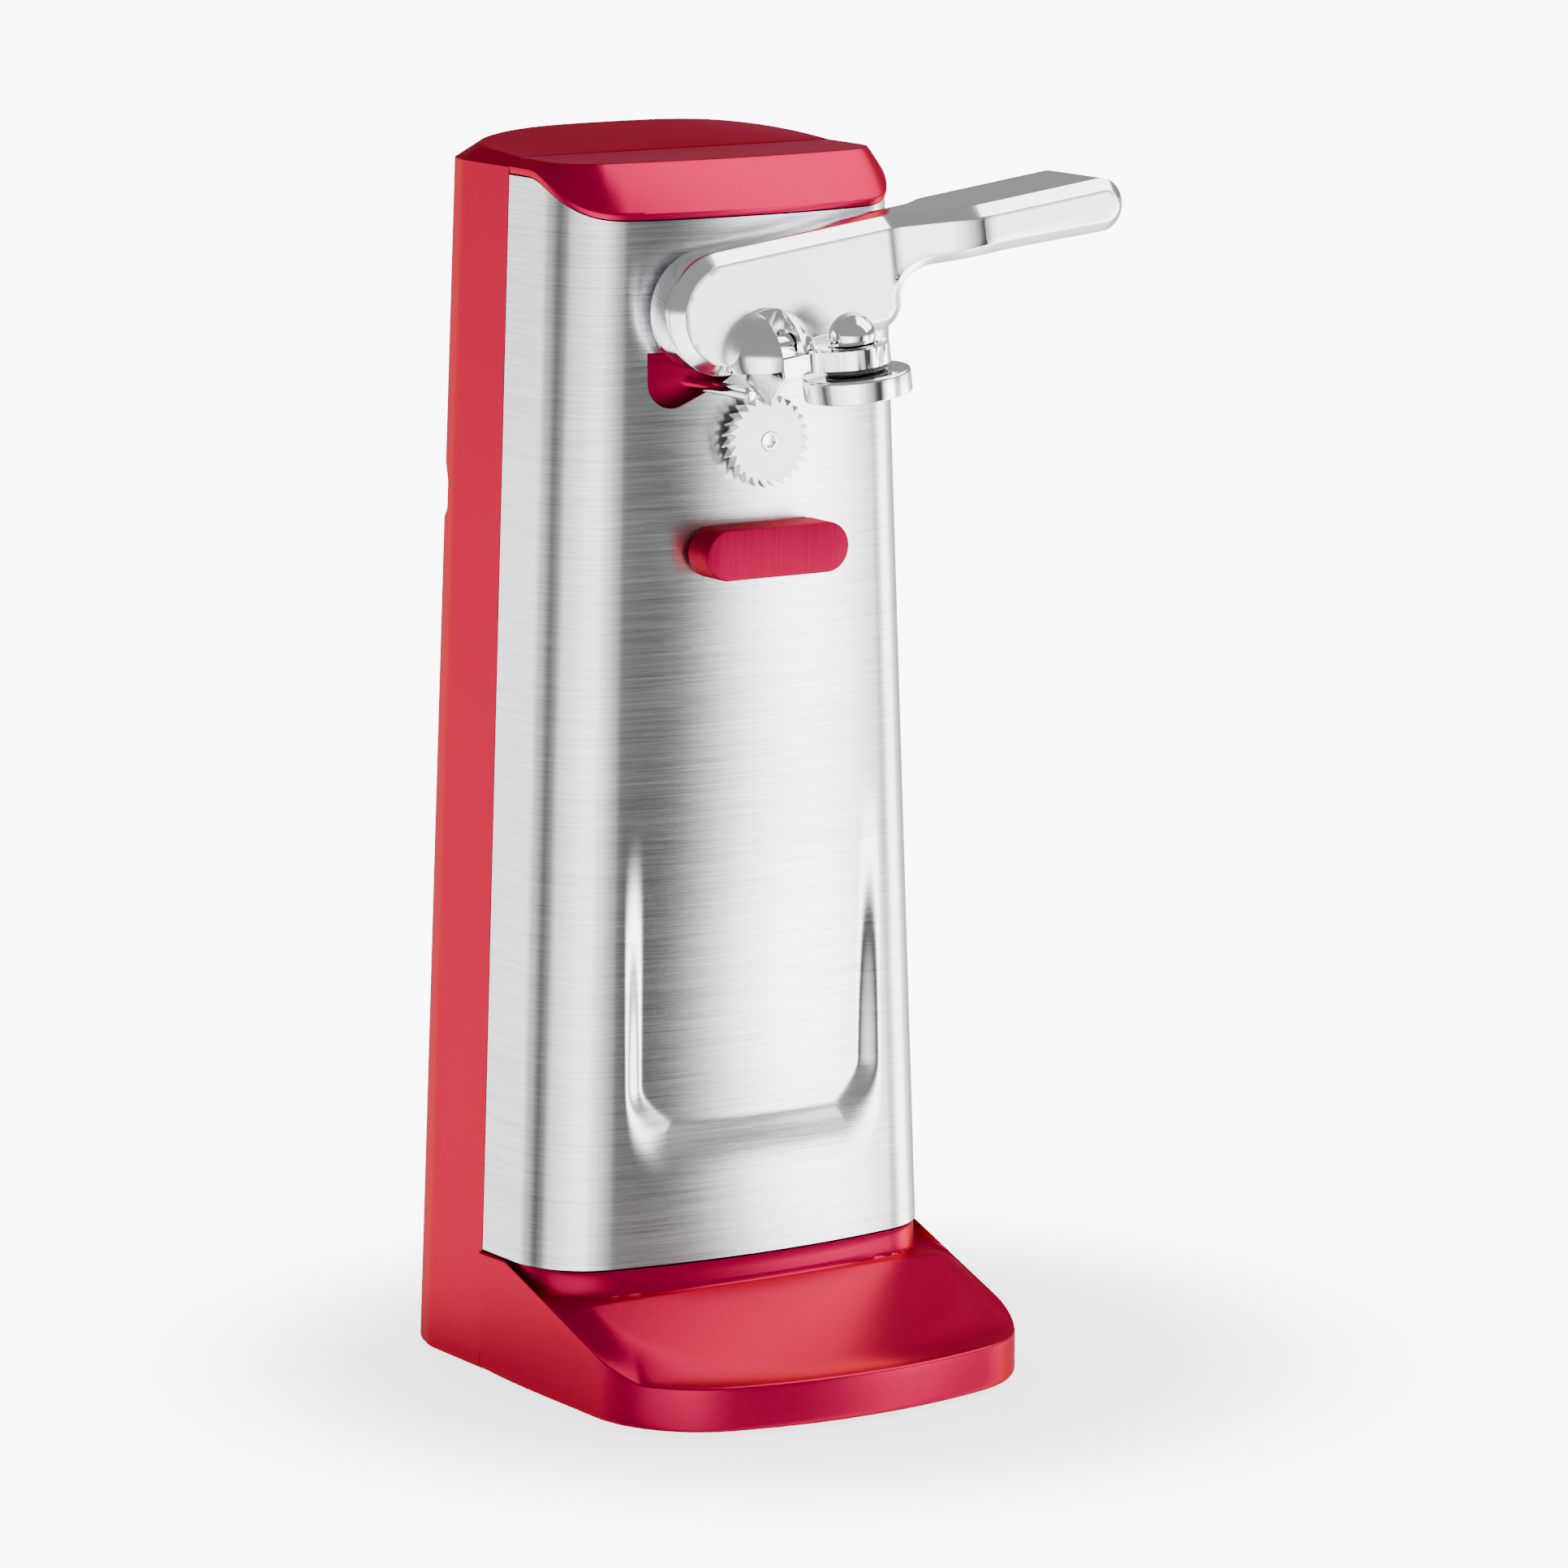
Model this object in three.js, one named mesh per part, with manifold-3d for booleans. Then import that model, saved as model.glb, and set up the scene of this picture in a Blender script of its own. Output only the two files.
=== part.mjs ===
// Electric can opener: an upright motor housing with a brushed steel front, a drip tray base,
// a die-cast lever with a cutter and a magnet, and a geared motor that also turns a sharpening stone.
// Units are millimetres. While it is modelled, X is to the right, Y to the rear and Z up, the front
// and rear housings meet at Y = 0, and the lower edge of the base is at Z = 0. The finished group is
// then moved so that its origin is under the middle of its box, on the surface it stands on.
import * as THREE from 'three';
import { mergeVertices } from 'three/addons/utils/BufferGeometryUtils.js';
import Module from 'manifold-3d';

const wasm = await Module();
wasm.setup();

// ---------- driving dimensions ----------
const GAP = 0.3; // air left between neighbouring solids
const SIDE = { foot: 48.4, head: 39.4 }; // half width of the housing at Z = 0 and at its shoulder
const REAR = { foot: 33.2, head: 29.2, corner: 8 }; // depth behind the seam
const FRONT = { foot: 33.2, head: 30.7, bow: 191.7, corner: 17.2 }; // steel front, before the seam
const SHOULDER = 248.8; // where the cap starts to slope inwards
const TOP = 250.7; // edge of the flat top
const CROWN = 2.7; // rise of the top at the middle of its rear edge
const CAP_EDGE = { side: 37.2, rear: 27, front: 23.8 }; // outline of the flat top
const LIP = { front: 239.6, side: 247.4, reach: 29, blend: 0.72 }; // lower edge of the cap
const WALL = 2.4;
const STEEL = { thickness: 0.6, bottom: 25.5 };
const EMBOSS = { halfWidth: 31, bottom: 43, fadeTo: 122, depth: 2.2 }; // panel pressed into the steel
const BASE = { front: 75.2, bow: 112.7, corner: 25, lip: 9.3, rimStart: -10, rimEnd: -58, rimTop: 25.2 };
const TRAY = { ledge: 21.7, neck: -36, floor: 7.4, back: 15.5, rimWidth: 4.2 };
const FOOT = { radius: 7, drop: 1, stem: 3, bead: 3.8, x: 36, rearY: 22, frontY: -58 };
const FOOT_PLACES = [
  [-FOOT.x, FOOT.rearY], [FOOT.x, FOOT.rearY], [-FOOT.x + 6, FOOT.frontY], [FOOT.x - 6, FOOT.frontY],
];
const PLATE_LEVEL = { low: 0.8, high: 3.2 }; // base plate, above the lower edge of the base
const WHEEL = { z: 194.3, face: -36, radius: 9.5, root: 8.1, thickness: 3.2, teeth: 26 };
const SHAFT_RADIUS = 3.2;
const REST = { z: 172.2, length: 33.8, height: 10.4, face: -39.6, back: -31.9 };
const POCKET = { floor: -24.4, left: -24.3, bottom: 201.8, top: 212.4 };
const GUIDE_PIN = { x: -13, z: 206.1, radius: 1.3, tip: -49.9, root: -23.5 };
const LEVER = { x: -13.8, z: 221.4, tilt: 7.4, hub: 12.5, face: -42.8, back: -32.3 };
const HANDLE = { length: 92, top: 12.5, bottom: 1.5, face: -52.2, back: -29.6, bend: 40.5, ramp: 14.5 };
const DOME = { p: 8.3, q: -9.75, radius: 9.5, flat: -11.8, slotFrom: 5.9, slotTo: 10.9 };
const BLADE = { p: 10.8, q: -14, tip: -21.5, front: -38.4, thickness: 2, screw: 6.8 };
const ARM_PIN = { y: -47, q: -7.2, radius: 1, from: 2.6, to: 14.6 };
const MAGNET = { p: 23.5, y: -50.4, ringMid: -11.8, ring: 7.3, ringHeight: 3.9, stud: 2 };
const CUP = { radius: 11, top: -15.3, height: 4.8, wall: 1.4, roof: 1.6 };
const BALL = { radius: 4.7, lift: 1.9 }; // head of the magnet's stud, above the ring
const MOTOR = { z: 181, bore: 14, rotor: 13.5, shaft: 2.5, bearing: 5, front: -2.6, rear: 10.4 };
const STATOR = { x: 29, low: 137, high: 208, windowLow: 149, windowHigh: 161 };
const STONE_SIZE = { radius: 9, span: [14.6, 20] };
const PLATE = { front: -8.4, rear: -6.4 };
const GEAR = { module: 1, pinionTeeth: 10, wheelTeeth: 40, lastPinionTeeth: 12, lastWheelTeeth: 36 };
const FACE_A = [-13.2, -9.4]; // motor pinion and first gear
const FACE_B = [-17.6, -13.8]; // first gear's pinion and second gear
const FACE_C = [-22, -18.2]; // second gear's pinion and final gear
const AXLE_1 = { x: -15, z: 161 };
const AXLE_PIN = 2;
const CHANNEL = { low: 171.6, high: 191, depth: 6.4, floorLow: 176, floorHigh: 184 };
const SWITCH = { x: [6, 26], y: [-20, -13.4], z: [215.6, 226.4], travel: 1.5, swing: 50 };
const CAM = { high: 9, y: [-19.4, -14.4] };
const SCREW = { shank: 1.4, head: 2.9, headHeight: 1.8 };
const SCREW_SEAT = 12; // depth behind the seam of the housing screws' heads
const PEGS = [-9, 9]; // pegs of the can rest, along X
const CORD_INLET = { x: 24, z: 14, bore: 5, inside: 3.2 };
// Places of the screws: (x, z) for those along Y, (x, y) for the base plate's.
const BOSSES = [
  [-31, 60], [31, 60], [-29, 232], [29, 232],
];
const PLATE_BOSSES = [
  [-33, 140], [33, 140], [-32, 206], [32, 206],
];
const MOTOR_SCREWS = [
  [-24, 203], [24, 203], [-24, 142], [24, 142],
];
const BASE_SCREWS = [
  [-32, 12], [32, 12], [-30, -46], [30, -46],
];

// ---------- finishes ----------
const finish = (color, roughness, metalness) => ({ color, roughness, metalness });
const RED = finish(0xb8213a, 0.35, 0.3);
const BRUSHED = finish(0xc9cbcc, 0.35, 1);
const CAST = finish(0xd6d8da, 0.22, 1);
const CHROME = finish(0xe6e8ea, 0.08, 1);
const DARK = finish(0x2b2c2e, 0.5, 0.2);
const RUBBER = finish(0x202124, 0.8, 0);
const LAMINATION = finish(0x6f7377, 0.55, 0.9);
const COPPER = finish(0xa8603a, 0.4, 0.8);
const NYLON = finish(0xe4e0d2, 0.5, 0);
const BRASS = finish(0xb08d48, 0.35, 0.9);
const STONE = finish(0x8f8a84, 0.95, 0);

// ---------- solids from three.js geometry ----------
const group = new THREE.Group();
const leverGroup = new THREE.Group();

function solid(geometry) {
  const bare = geometry.index ? geometry.toNonIndexed() : geometry.clone();
  bare.deleteAttribute('normal');
  bare.deleteAttribute('uv');
  const merged = mergeVertices(bare, 1e-4);
  const vertProperties = merged.attributes.position.array;
  const triVerts = new Uint32Array(merged.index.array);
  return new wasm.Manifold(new wasm.Mesh({ numProp: 3, vertProperties, triVerts }));
}

function add(name, body, { color, roughness, metalness }, parent = group) {
  const mesh = body.getMesh();
  const geometry = new THREE.BufferGeometry();
  geometry.setAttribute('position', new THREE.BufferAttribute(mesh.vertProperties, 3));
  geometry.setIndex(new THREE.BufferAttribute(mesh.triVerts, 1));
  const material = new THREE.MeshStandardMaterial({ color, roughness, metalness });
  const piece = new THREE.Mesh(geometry, material);
  piece.name = name;
  parent.add(piece);
}

const union = (first, ...rest) => rest.reduce((sum, next) => sum.add(next), first);
const cut = (first, ...rest) => rest.reduce((left, next) => left.subtract(next), first);

function box([x0, x1], [y0, y1], [z0, z1]) {
  const geometry = new THREE.BoxGeometry(x1 - x0, y1 - y0, z1 - z0);
  return solid(geometry.translate((x0 + x1) / 2, (y0 + y1) / 2, (z0 + z1) / 2));
}

// Each arc of an outline becomes the given number of straight sides; three.js doubles it for arcs.
const extruded = (shape, depth, sides, steps = 1) =>
  new THREE.ExtrudeGeometry(shape, { depth, steps, bevelEnabled: false, curveSegments: sides / 2 });

// An outline in (x, z), drawn out along Y from y0 to y1.
function alongY(shape, [y0, y1], sides = 8) {
  return solid(extruded(shape, y1 - y0, sides).rotateX(Math.PI / 2).translate(0, y1, 0));
}

// An outline in (y, z), drawn out along X from x0 to x1.
function alongX(shape, [x0, x1], sides = 8) {
  const geometry = extruded(shape, x1 - x0, sides);
  return solid(geometry.rotateX(Math.PI / 2).rotateZ(Math.PI / 2).translate(x0, 0, 0));
}

// An outline in (x, y), drawn out along Z from z0 to z1.
function alongZ(shape, [z0, z1], sides = 8) {
  return solid(extruded(shape, z1 - z0, sides).translate(0, 0, z0));
}

function circle(x, y, radius) {
  return new THREE.Shape().absarc(x, y, radius, 0, 2 * Math.PI, false);
}

const rod = (x, z, radius, span, sides = 20) => alongY(circle(x, z, radius), span, sides);
const post = (x, y, radius, span, sides = 20) => alongZ(circle(x, y, radius), span, sides);

function polygon(points) {
  return new THREE.Shape(points.map(([x, y]) => new THREE.Vector2(x, y)));
}

// A round piece turned about a line along Y through (x, z). The profile lists (radius, y).
function turned(profile, x, z, sides = 16) {
  const points = profile.map(([r, y]) => new THREE.Vector2(r, y));
  return solid(new THREE.LatheGeometry(points, sides).translate(x, 0, z));
}

// An outline carried through levels: level k scales it by width and depth and sets its height.
function loft(shape, levels, sides = 8) {
  const geometry = extruded(shape, levels.length - 1, sides, levels.length - 1);
  const place = geometry.attributes.position;
  for (let i = 0; i < place.count; i += 1) {
    const { z, width, depth } = levels[Math.round(place.getZ(i))];
    place.setXYZ(i, place.getX(i) * width, place.getY(i) * depth, z);
  }
  return solid(geometry);
}

const ringSpan = [MAGNET.ringMid - MAGNET.ringHeight / 2, MAGNET.ringMid + MAGNET.ringHeight / 2];
const mix = (a, b, t) => a + (b - a) * t;
const smooth = (t) => {
  const held = Math.min(1, Math.max(0, t));
  return held * held * (3 - 2 * held);
};

// ---------- outlines of the housing ----------
const sideAt = (z) => mix(SIDE.foot, SIDE.head, z / SHOULDER);
const rearAt = (z) => mix(REAR.foot, REAR.head, z / SHOULDER);
const frontAt = (z) => mix(FRONT.foot, FRONT.head, z / SHOULDER);

// A front that bows out between two rounded corners, closed by a straight line at Y = seam.
function bowedFront(halfWidth, front, bow, corner, seam) {
  const centre = bow - front;
  const across = halfWidth - corner;
  const cornerY = centre - Math.sqrt((bow - corner) ** 2 - across ** 2);
  const turn = Math.atan2(cornerY - centre, across);
  const shape = new THREE.Shape().moveTo(-halfWidth, seam).lineTo(-halfWidth, cornerY);
  shape.absarc(-across, cornerY, corner, -Math.PI, -Math.PI - turn, false);
  shape.absarc(0, centre, bow, -Math.PI - turn, turn, false);
  shape.absarc(across, cornerY, corner, turn, 0, false);
  return shape.lineTo(halfWidth, seam);
}

// The rear half: straight sides and back with rounded corners, closed at Y = seam.
function squareRear(halfWidth, rear, corner, seam) {
  const across = halfWidth - corner;
  const shape = new THREE.Shape().moveTo(halfWidth, seam).lineTo(halfWidth, rear - corner);
  shape.absarc(across, rear - corner, corner, 0, Math.PI / 2, false);
  shape.absarc(-across, rear - corner, corner, Math.PI / 2, Math.PI, false);
  return shape.lineTo(-halfWidth, seam);
}

// Levels that follow the housing's taper for an outline drawn at its foot, inset by some wall.
function tapered(low, high, depthAt, inset = 0) {
  const level = (z) => ({
    z,
    width: (sideAt(z) - inset) / (SIDE.foot - inset),
    depth: (depthAt(z) - inset) / (depthAt(0) - inset),
  });
  return [level(low), level(high)];
}

// Everything above the lower edge of the cap, which sweeps up to the seam at each side.
function aboveLip(clearance) {
  const steps = 10;
  const edge = Array.from({ length: steps + 1 }, (_, i) => {
    const y = -LIP.reach + (LIP.reach * LIP.blend * i) / steps;
    return [y, mix(LIP.front, LIP.side, smooth(i / steps)) + clearance];
  });
  const start = [-60, LIP.front + clearance];
  const end = [20, LIP.side + clearance];
  return alongX(polygon([start, ...edge, end, [20, 300], [-60, 300]]), [-60, 60]);
}

// Everything above the top, which is level before the seam and crowned behind it.
function aboveTop() {
  const steps = 8;
  const half = 45;
  const geometry = new THREE.BoxGeometry(2 * half, 80, 40, steps, 2, 1).translate(0, 0, TOP + 20);
  const place = geometry.attributes.position;
  for (let i = 0; i < place.count; i += 1) {
    if (place.getZ(i) > TOP + 1) continue;
    const across = 1 - (place.getX(i) / half) ** 2;
    place.setZ(i, TOP + (CROWN * Math.max(0, place.getY(i)) * across) / REAR.head);
  }
  return solid(geometry);
}

// ---------- rear housing ----------
function screwAlongY(x, z, seat, length) {
  const { shank, head, headHeight } = SCREW;
  return union(
    rod(x, z, head, [seat, seat + headHeight], 10),
    rod(x, z, shank, [seat - length, seat + 0.1], 10),
  );
}

function rearHousing() {
  const seam = GAP / 2;
  const outline = squareRear(SIDE.foot, REAR.foot, REAR.corner, seam);
  const walls = loft(outline, [
    ...tapered(0, SHOULDER, rearAt),
    { z: TOP, width: CAP_EDGE.side / SIDE.foot, depth: CAP_EDGE.rear / REAR.foot },
    { z: TOP + CROWN + 0.4, width: (CAP_EDGE.side - 1) / SIDE.foot, depth: (CAP_EDGE.rear - 1) / REAR.foot },
  ]);
  const inner = squareRear(SIDE.foot - WALL, REAR.foot - WALL, REAR.corner - WALL, -1);
  const hollow = loft(inner, tapered(-1, TOP - 3.2, rearAt, WALL));
  const { low, high, depth, floorLow, floorHigh } = CHANNEL;
  const back = rearAt(low);
  const channelOutline = (grow) => polygon([
    [back + 5, low - grow], [back, low - grow], [back - depth - grow, floorLow - grow],
    [back - depth - grow, floorHigh + grow], [back - 1, high + grow], [back + 5, high + grow],
  ]);
  const channelWall = alongX(channelOutline(WALL), [-60, 60]).intersect(walls);
  let shell = cut(walls, hollow).add(channelWall);
  shell = cut(shell, alongX(channelOutline(0), [-60, 60]), aboveTop());
  shell = cut(shell, box([-14, 14], [20, 26], [floorLow + 0.4, floorHigh - 0.4]));
  for (const [x, z] of BOSSES) {
    const tube = rod(x, z, 4.6, [seam, rearAt(z) - 1]);
    const well = rod(x, z, SCREW.head + 0.5, [SCREW_SEAT + GAP, 40], 16);
    shell = cut(shell.add(tube), well, rod(x, z, SCREW.shank + 0.4, [-1, 14], 16));
  }
  return cut(shell, rod(CORD_INLET.x, CORD_INLET.z, CORD_INLET.bore + GAP, [25, 40]));
}

function cordInlet() {
  const { x, z, bore, inside } = CORD_INLET;
  const wall = rearAt(z);
  const profile = [
    [inside, wall - WALL - 3], [bore + 1.8, wall - WALL - 3], [bore + 1.8, wall - WALL - GAP],
    [bore, wall - WALL - GAP], [bore, wall + GAP], [bore + 1.8, wall + GAP], [bore + 1.2, wall + 1.8],
    [inside, wall + 1.8], [inside, wall - WALL - 3],
  ];
  return turned(profile, x, z);
}

// ---------- front housing with its base, tray and cap ----------
// Height of the tray over the base: side rims that fall to the front lip around a dished floor.
function trayHeight(x, y) {
  const { front, lip, rimStart, rimEnd, rimTop } = BASE;
  const rim = mix(rimTop, lip, (rimStart - y) / (rimStart - rimEnd));
  const edge = Math.max(lip, Math.min(STEEL.bottom - GAP, rim));
  const along = smooth((TRAY.neck - y) / (front - 8 + TRAY.neck));
  const floor = mix(TRAY.back, TRAY.floor, along);
  const side = smooth((Math.abs(x) - 22) / (SIDE.foot - TRAY.rimWidth - 22));
  const neck = smooth((y - TRAY.neck + 6) / 6);
  return mix(mix(floor, edge, side), TRAY.ledge, neck);
}

function aboveTray(clearance) {
  const wide = 2 * (SIDE.foot + 6);
  const deep = 74;
  const geometry = new THREE.BoxGeometry(wide, deep, 40, 12, 10, 1).translate(0, -5 - deep / 2, 28);
  const place = geometry.attributes.position;
  for (let i = 0; i < place.count; i += 1) {
    if (place.getZ(i) > 40) continue;
    place.setZ(i, trayHeight(place.getX(i), place.getY(i)) + clearance);
  }
  return solid(geometry);
}

function pocketOutline(grow) {
  const { left, bottom, top } = POCKET;
  const shape = new THREE.Shape().moveTo(left - grow, top + grow).lineTo(left - grow, bottom + 5);
  shape.absarc(left + 5, bottom + 5, 5 + grow, Math.PI, 1.65 * Math.PI, false);
  return shape.lineTo(-8 + grow, 206.4 - grow).lineTo(-4 + grow, 209 - grow).lineTo(-4 + grow, top + grow);
}

function frontHousing() {
  const seam = -GAP / 2;
  const behindSteel = STEEL.thickness + GAP;
  const column = (inset, low, high) =>
    loft(
      bowedFront(SIDE.foot - inset, FRONT.foot - inset, FRONT.bow - inset, FRONT.corner - inset, seam),
      tapered(low, high, frontAt, inset),
    );
  const cap = loft(bowedFront(SIDE.foot, FRONT.foot, FRONT.bow, FRONT.corner, seam), [
    ...tapered(230, LIP.front + 0.6, frontAt),
    { z: TOP, width: CAP_EDGE.side / SIDE.foot, depth: CAP_EDGE.front / FRONT.foot },
  ]).intersect(aboveLip(GAP / 2));
  const footprint = bowedFront(SIDE.foot, BASE.front, BASE.bow, BASE.corner, seam);
  const base = cut(alongZ(footprint, [0, STEEL.bottom - GAP]), aboveTray(0));
  const inset = WALL + 0.2;
  const underside = bowedFront(
    SIDE.foot - inset, BASE.front - inset, BASE.bow - inset, BASE.corner - inset, 1,
  );
  const hollowBase = cut(alongZ(underside, [-1, STEEL.bottom]), aboveTray(-inset));
  const emboss = EMBOSS.depth + 0.4;
  const hollowDepth = behindSteel + WALL;
  let body = union(column(behindSteel, 2, SHOULDER - 1), cap);
  const dent = box([-EMBOSS.halfWidth - 3, EMBOSS.halfWidth + 3], [-40, -FRONT.head + emboss],
    [EMBOSS.bottom - 4, EMBOSS.fadeTo + 4]);
  body = cut(body, dent).add(base);
  const dentWall = box([-EMBOSS.halfWidth - 5, EMBOSS.halfWidth + 5], [-40, -FRONT.head + emboss + WALL],
    [EMBOSS.bottom - 6, EMBOSS.fadeTo + 6]);
  const inside = loft(
    bowedFront(SIDE.foot - hollowDepth, FRONT.foot - hollowDepth, FRONT.bow - hollowDepth,
      FRONT.corner - hollowDepth, 1),
    tapered(-1, TOP - 3.2, frontAt, hollowDepth),
  );
  body = cut(body, cut(inside, dentWall), hollowBase);
  const pocketWall = alongY(pocketOutline(1.6), [-40, POCKET.floor + 1.6]);
  const spindleWall = rod(LEVER.x, LEVER.z, 7.4, [-40, -23]);
  const bushWall = rod(0, WHEEL.z, 7, [-40, -24]);
  const restBosses = PEGS.map((x) => rod(x, REST.z, 3.6, [-40, -24], 16));
  const seamBosses = BOSSES.map(([x, z]) => rod(x, z, 4.6, [-40, seam], 16));
  const plateBosses = PLATE_BOSSES.map(([x, z]) => rod(x, z, 3.4, [-40, PLATE.front - GAP], 16));
  const bosses = union(pocketWall, spindleWall, bushWall, ...restBosses, ...seamBosses, ...plateBosses);
  body = union(body, bosses.intersect(column(behindSteel, 2, SHOULDER - 1)));
  return cut(
    body,
    alongY(pocketOutline(0), [-60, POCKET.floor]),
    rod(LEVER.x, LEVER.z, 5.4, [-60, 0]),
    rod(0, WHEEL.z, 5.2 + GAP, [-60, 0]),
    rod(GUIDE_PIN.x, GUIDE_PIN.z, GUIDE_PIN.radius + GAP, [-60, GUIDE_PIN.root + GAP], 16),
    ...PEGS.map((x) => rod(x, REST.z, 2.4 + GAP, [-60, 0], 16)),
    ...BOSSES.map(([x, z]) => rod(x, z, SCREW.shank + GAP, [-12, 1], 10)),
    ...PLATE_BOSSES.map(([x, z]) => rod(x, z, SCREW.shank + GAP, [-20, 1], 10)),
  );
}

// ---------- steel cover ----------
function steelCover() {
  const sheet = (inset, low, high) =>
    loft(
      bowedFront(
        SIDE.foot - inset, FRONT.foot - inset, FRONT.bow - inset, FRONT.corner - inset, inset - GAP / 2,
      ),
      tapered(low, high, frontAt, inset),
      6,
    );
  const { thickness, bottom } = STEEL;
  return cut(
    sheet(0, bottom, LIP.side),
    sheet(thickness, bottom - 1, LIP.side + 1),
    aboveLip(-GAP),
    alongY(pocketOutline(0.2), [-60, -10]),
    rod(LEVER.x, LEVER.z, 6.4, [-60, -10]),
    rod(0, WHEEL.z, 5.6, [-60, -10]),
    ...PEGS.map((x) => rod(x, REST.z, 2.9, [-60, -10], 16)),
  );
}

function canRest() {
  const { z, length, height, face, back } = REST;
  const half = height / 2;
  const shape = new THREE.Shape().absarc(length / 2 - half, z, half, -Math.PI / 2, Math.PI / 2, false);
  shape.absarc(half - length / 2, z, half, Math.PI / 2, 1.5 * Math.PI, false);
  const pegs = PEGS.map((x) => rod(x, z, 2.4, [back - 0.2, -24.2], 16));
  const pilots = PEGS.map((x) => rod(x, z, SCREW.shank + GAP, [face + 5, -20], 10));
  return cut(union(alongY(shape, [face, back], 8), ...pegs), ...pilots);
}

function guidePin() {
  const { x, z, radius, tip, root } = GUIDE_PIN;
  return rod(x, z, radius, [tip, root], 16);
}

// ---------- base plate and feet ----------
function basePlate() {
  const { low, high } = PLATE_LEVEL;
  const inset = WALL + 0.2 + GAP;
  const front = bowedFront(SIDE.foot - inset, BASE.front - inset, BASE.bow - inset, BASE.corner - inset, 0);
  const rear = squareRear(SIDE.foot - inset - 0.4, REAR.foot - inset, REAR.corner - 2, -1);
  const plate = union(alongZ(front, [low, high]), alongZ(rear, [low, high]));
  const slots = [-20, -10, 0, 10, 20].map((x) => box([x - 1.5, x + 1.5], [-34, -12], [0, 5]));
  return cut(
    plate,
    ...FOOT_PLACES.map(([x, y]) => post(x, y, FOOT.stem + GAP, [0, 5], 16)),
    ...BASE_SCREWS.map(([x, y]) => post(x, y, SCREW.shank + GAP, [0, 5], 10)),
    ...slots,
  );
}

function foot(x, y) {
  const { radius, drop, stem, bead } = FOOT;
  const { low, high } = PLATE_LEVEL;
  return union(
    post(x, y, radius, [-drop, low - GAP / 2]),
    post(x, y, stem, [0.5, high + GAP], 16),
    post(x, y, bead, [high + GAP, high + 1.4], 16),
  );
}

function baseScrew(x, y) {
  const { shank, head, headHeight } = SCREW;
  const seat = PLATE_LEVEL.low - GAP / 2;
  return union(
    post(x, y, head, [seat - headHeight + 0.6, seat], 10),
    post(x, y, shank, [seat - 0.1, 9], 10),
  );
}

// ---------- mounting plate, axle pins and drive bush ----------
const final = { x: 0, z: WHEEL.z };
const pitch = (teeth) => (GEAR.module * teeth) / 2;

// The second axle is where circles about the first axle and the final gear's axis cross.
function secondAxle() {
  const near = pitch(GEAR.pinionTeeth) + pitch(GEAR.wheelTeeth);
  const far = pitch(GEAR.lastPinionTeeth) + pitch(GEAR.lastWheelTeeth);
  const across = final.x - AXLE_1.x;
  const up = final.z - AXLE_1.z;
  const apart = Math.hypot(across, up);
  const along = (near ** 2 - far ** 2 + apart ** 2) / (2 * apart);
  const aside = Math.sqrt(near ** 2 - along ** 2);
  return {
    x: AXLE_1.x + (along * across + aside * up) / apart,
    z: AXLE_1.z + (along * up - aside * across) / apart,
  };
}
const AXLE_2 = secondAxle();

function mountingPlate() {
  const outline = polygon([
    [-37, 134], [37, 134], [35.5, 222], [27, 226.6], [-27, 226.6], [-35.5, 222],
  ]);
  return cut(
    alongY(outline, [PLATE.front, PLATE.rear]),
    rod(0, MOTOR.z, 6, [-20, 5]),
    rod(LEVER.x, LEVER.z, 4.2, [-20, 5]),
    ...[AXLE_1, AXLE_2].map(({ x, z }) => rod(x, z, AXLE_PIN - 0.4, [-20, 5], 16)),
    ...PLATE_BOSSES.map(([x, z]) => rod(x, z, SCREW.shank + GAP, [-20, 5], 10)),
    ...MOTOR_SCREWS.map(([x, z]) => rod(x, z, SCREW.shank + GAP, [-20, 5], 10)),
    box([2, 30], [-20, 5], [214, 222]),
  );
}

function axlePin({ x, z }, front) {
  const low = PLATE.front - GAP / 2;
  return union(
    rod(x, z, AXLE_PIN, [front, low], 24),
    rod(x, z, AXLE_PIN - 0.4 - GAP, [low - 0.1, PLATE.rear + 0.3], 16),
    rod(x, z, AXLE_PIN + 0.3, [PLATE.rear + GAP / 2, PLATE.rear + 1], 16),
  );
}

function driveBush() {
  const outside = rod(0, WHEEL.z, 5.2, [-32.4, FACE_C[0] - 0.8]);
  const flange = rod(0, WHEEL.z, 6.8, [-23.6, FACE_C[0] - 0.8]);
  return cut(union(outside, flange), rod(0, WHEEL.z, SHAFT_RADIUS + 0.06, [-40, 0], 24));
}

// ---------- gears ----------
// A gear outline with straight-sided teeth, thinner than half the pitch so that they run free.
function gearShape({ x, z }, teeth, turn) {
  const radius = pitch(teeth);
  const root = radius - 1.2 * GEAR.module;
  const tip = radius + 0.85 * GEAR.module;
  const step = (2 * Math.PI) / teeth;
  const corners = [[root, -0.3], [tip, -0.11], [tip, 0.11], [root, 0.3]];
  const points = Array.from({ length: teeth }, (_, tooth) =>
    corners.map(([r, part]) => {
      const angle = turn + (tooth + part) * step;
      return [x + r * Math.cos(angle), z + r * Math.sin(angle)];
    }));
  return polygon(points.flat());
}

// Angle of a driven gear whose gap faces the driver's tooth, for axes at from and to.
function meshTurn(from, to, fromTeeth, fromTurn, toTeeth) {
  const heading = Math.atan2(to.z - from.z, to.x - from.x);
  const phase = ((heading - fromTurn) * fromTeeth) / (2 * Math.PI);
  const gap = (phase + 0.5) * ((2 * Math.PI) / toTeeth);
  return heading + Math.PI + gap;
}

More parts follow.
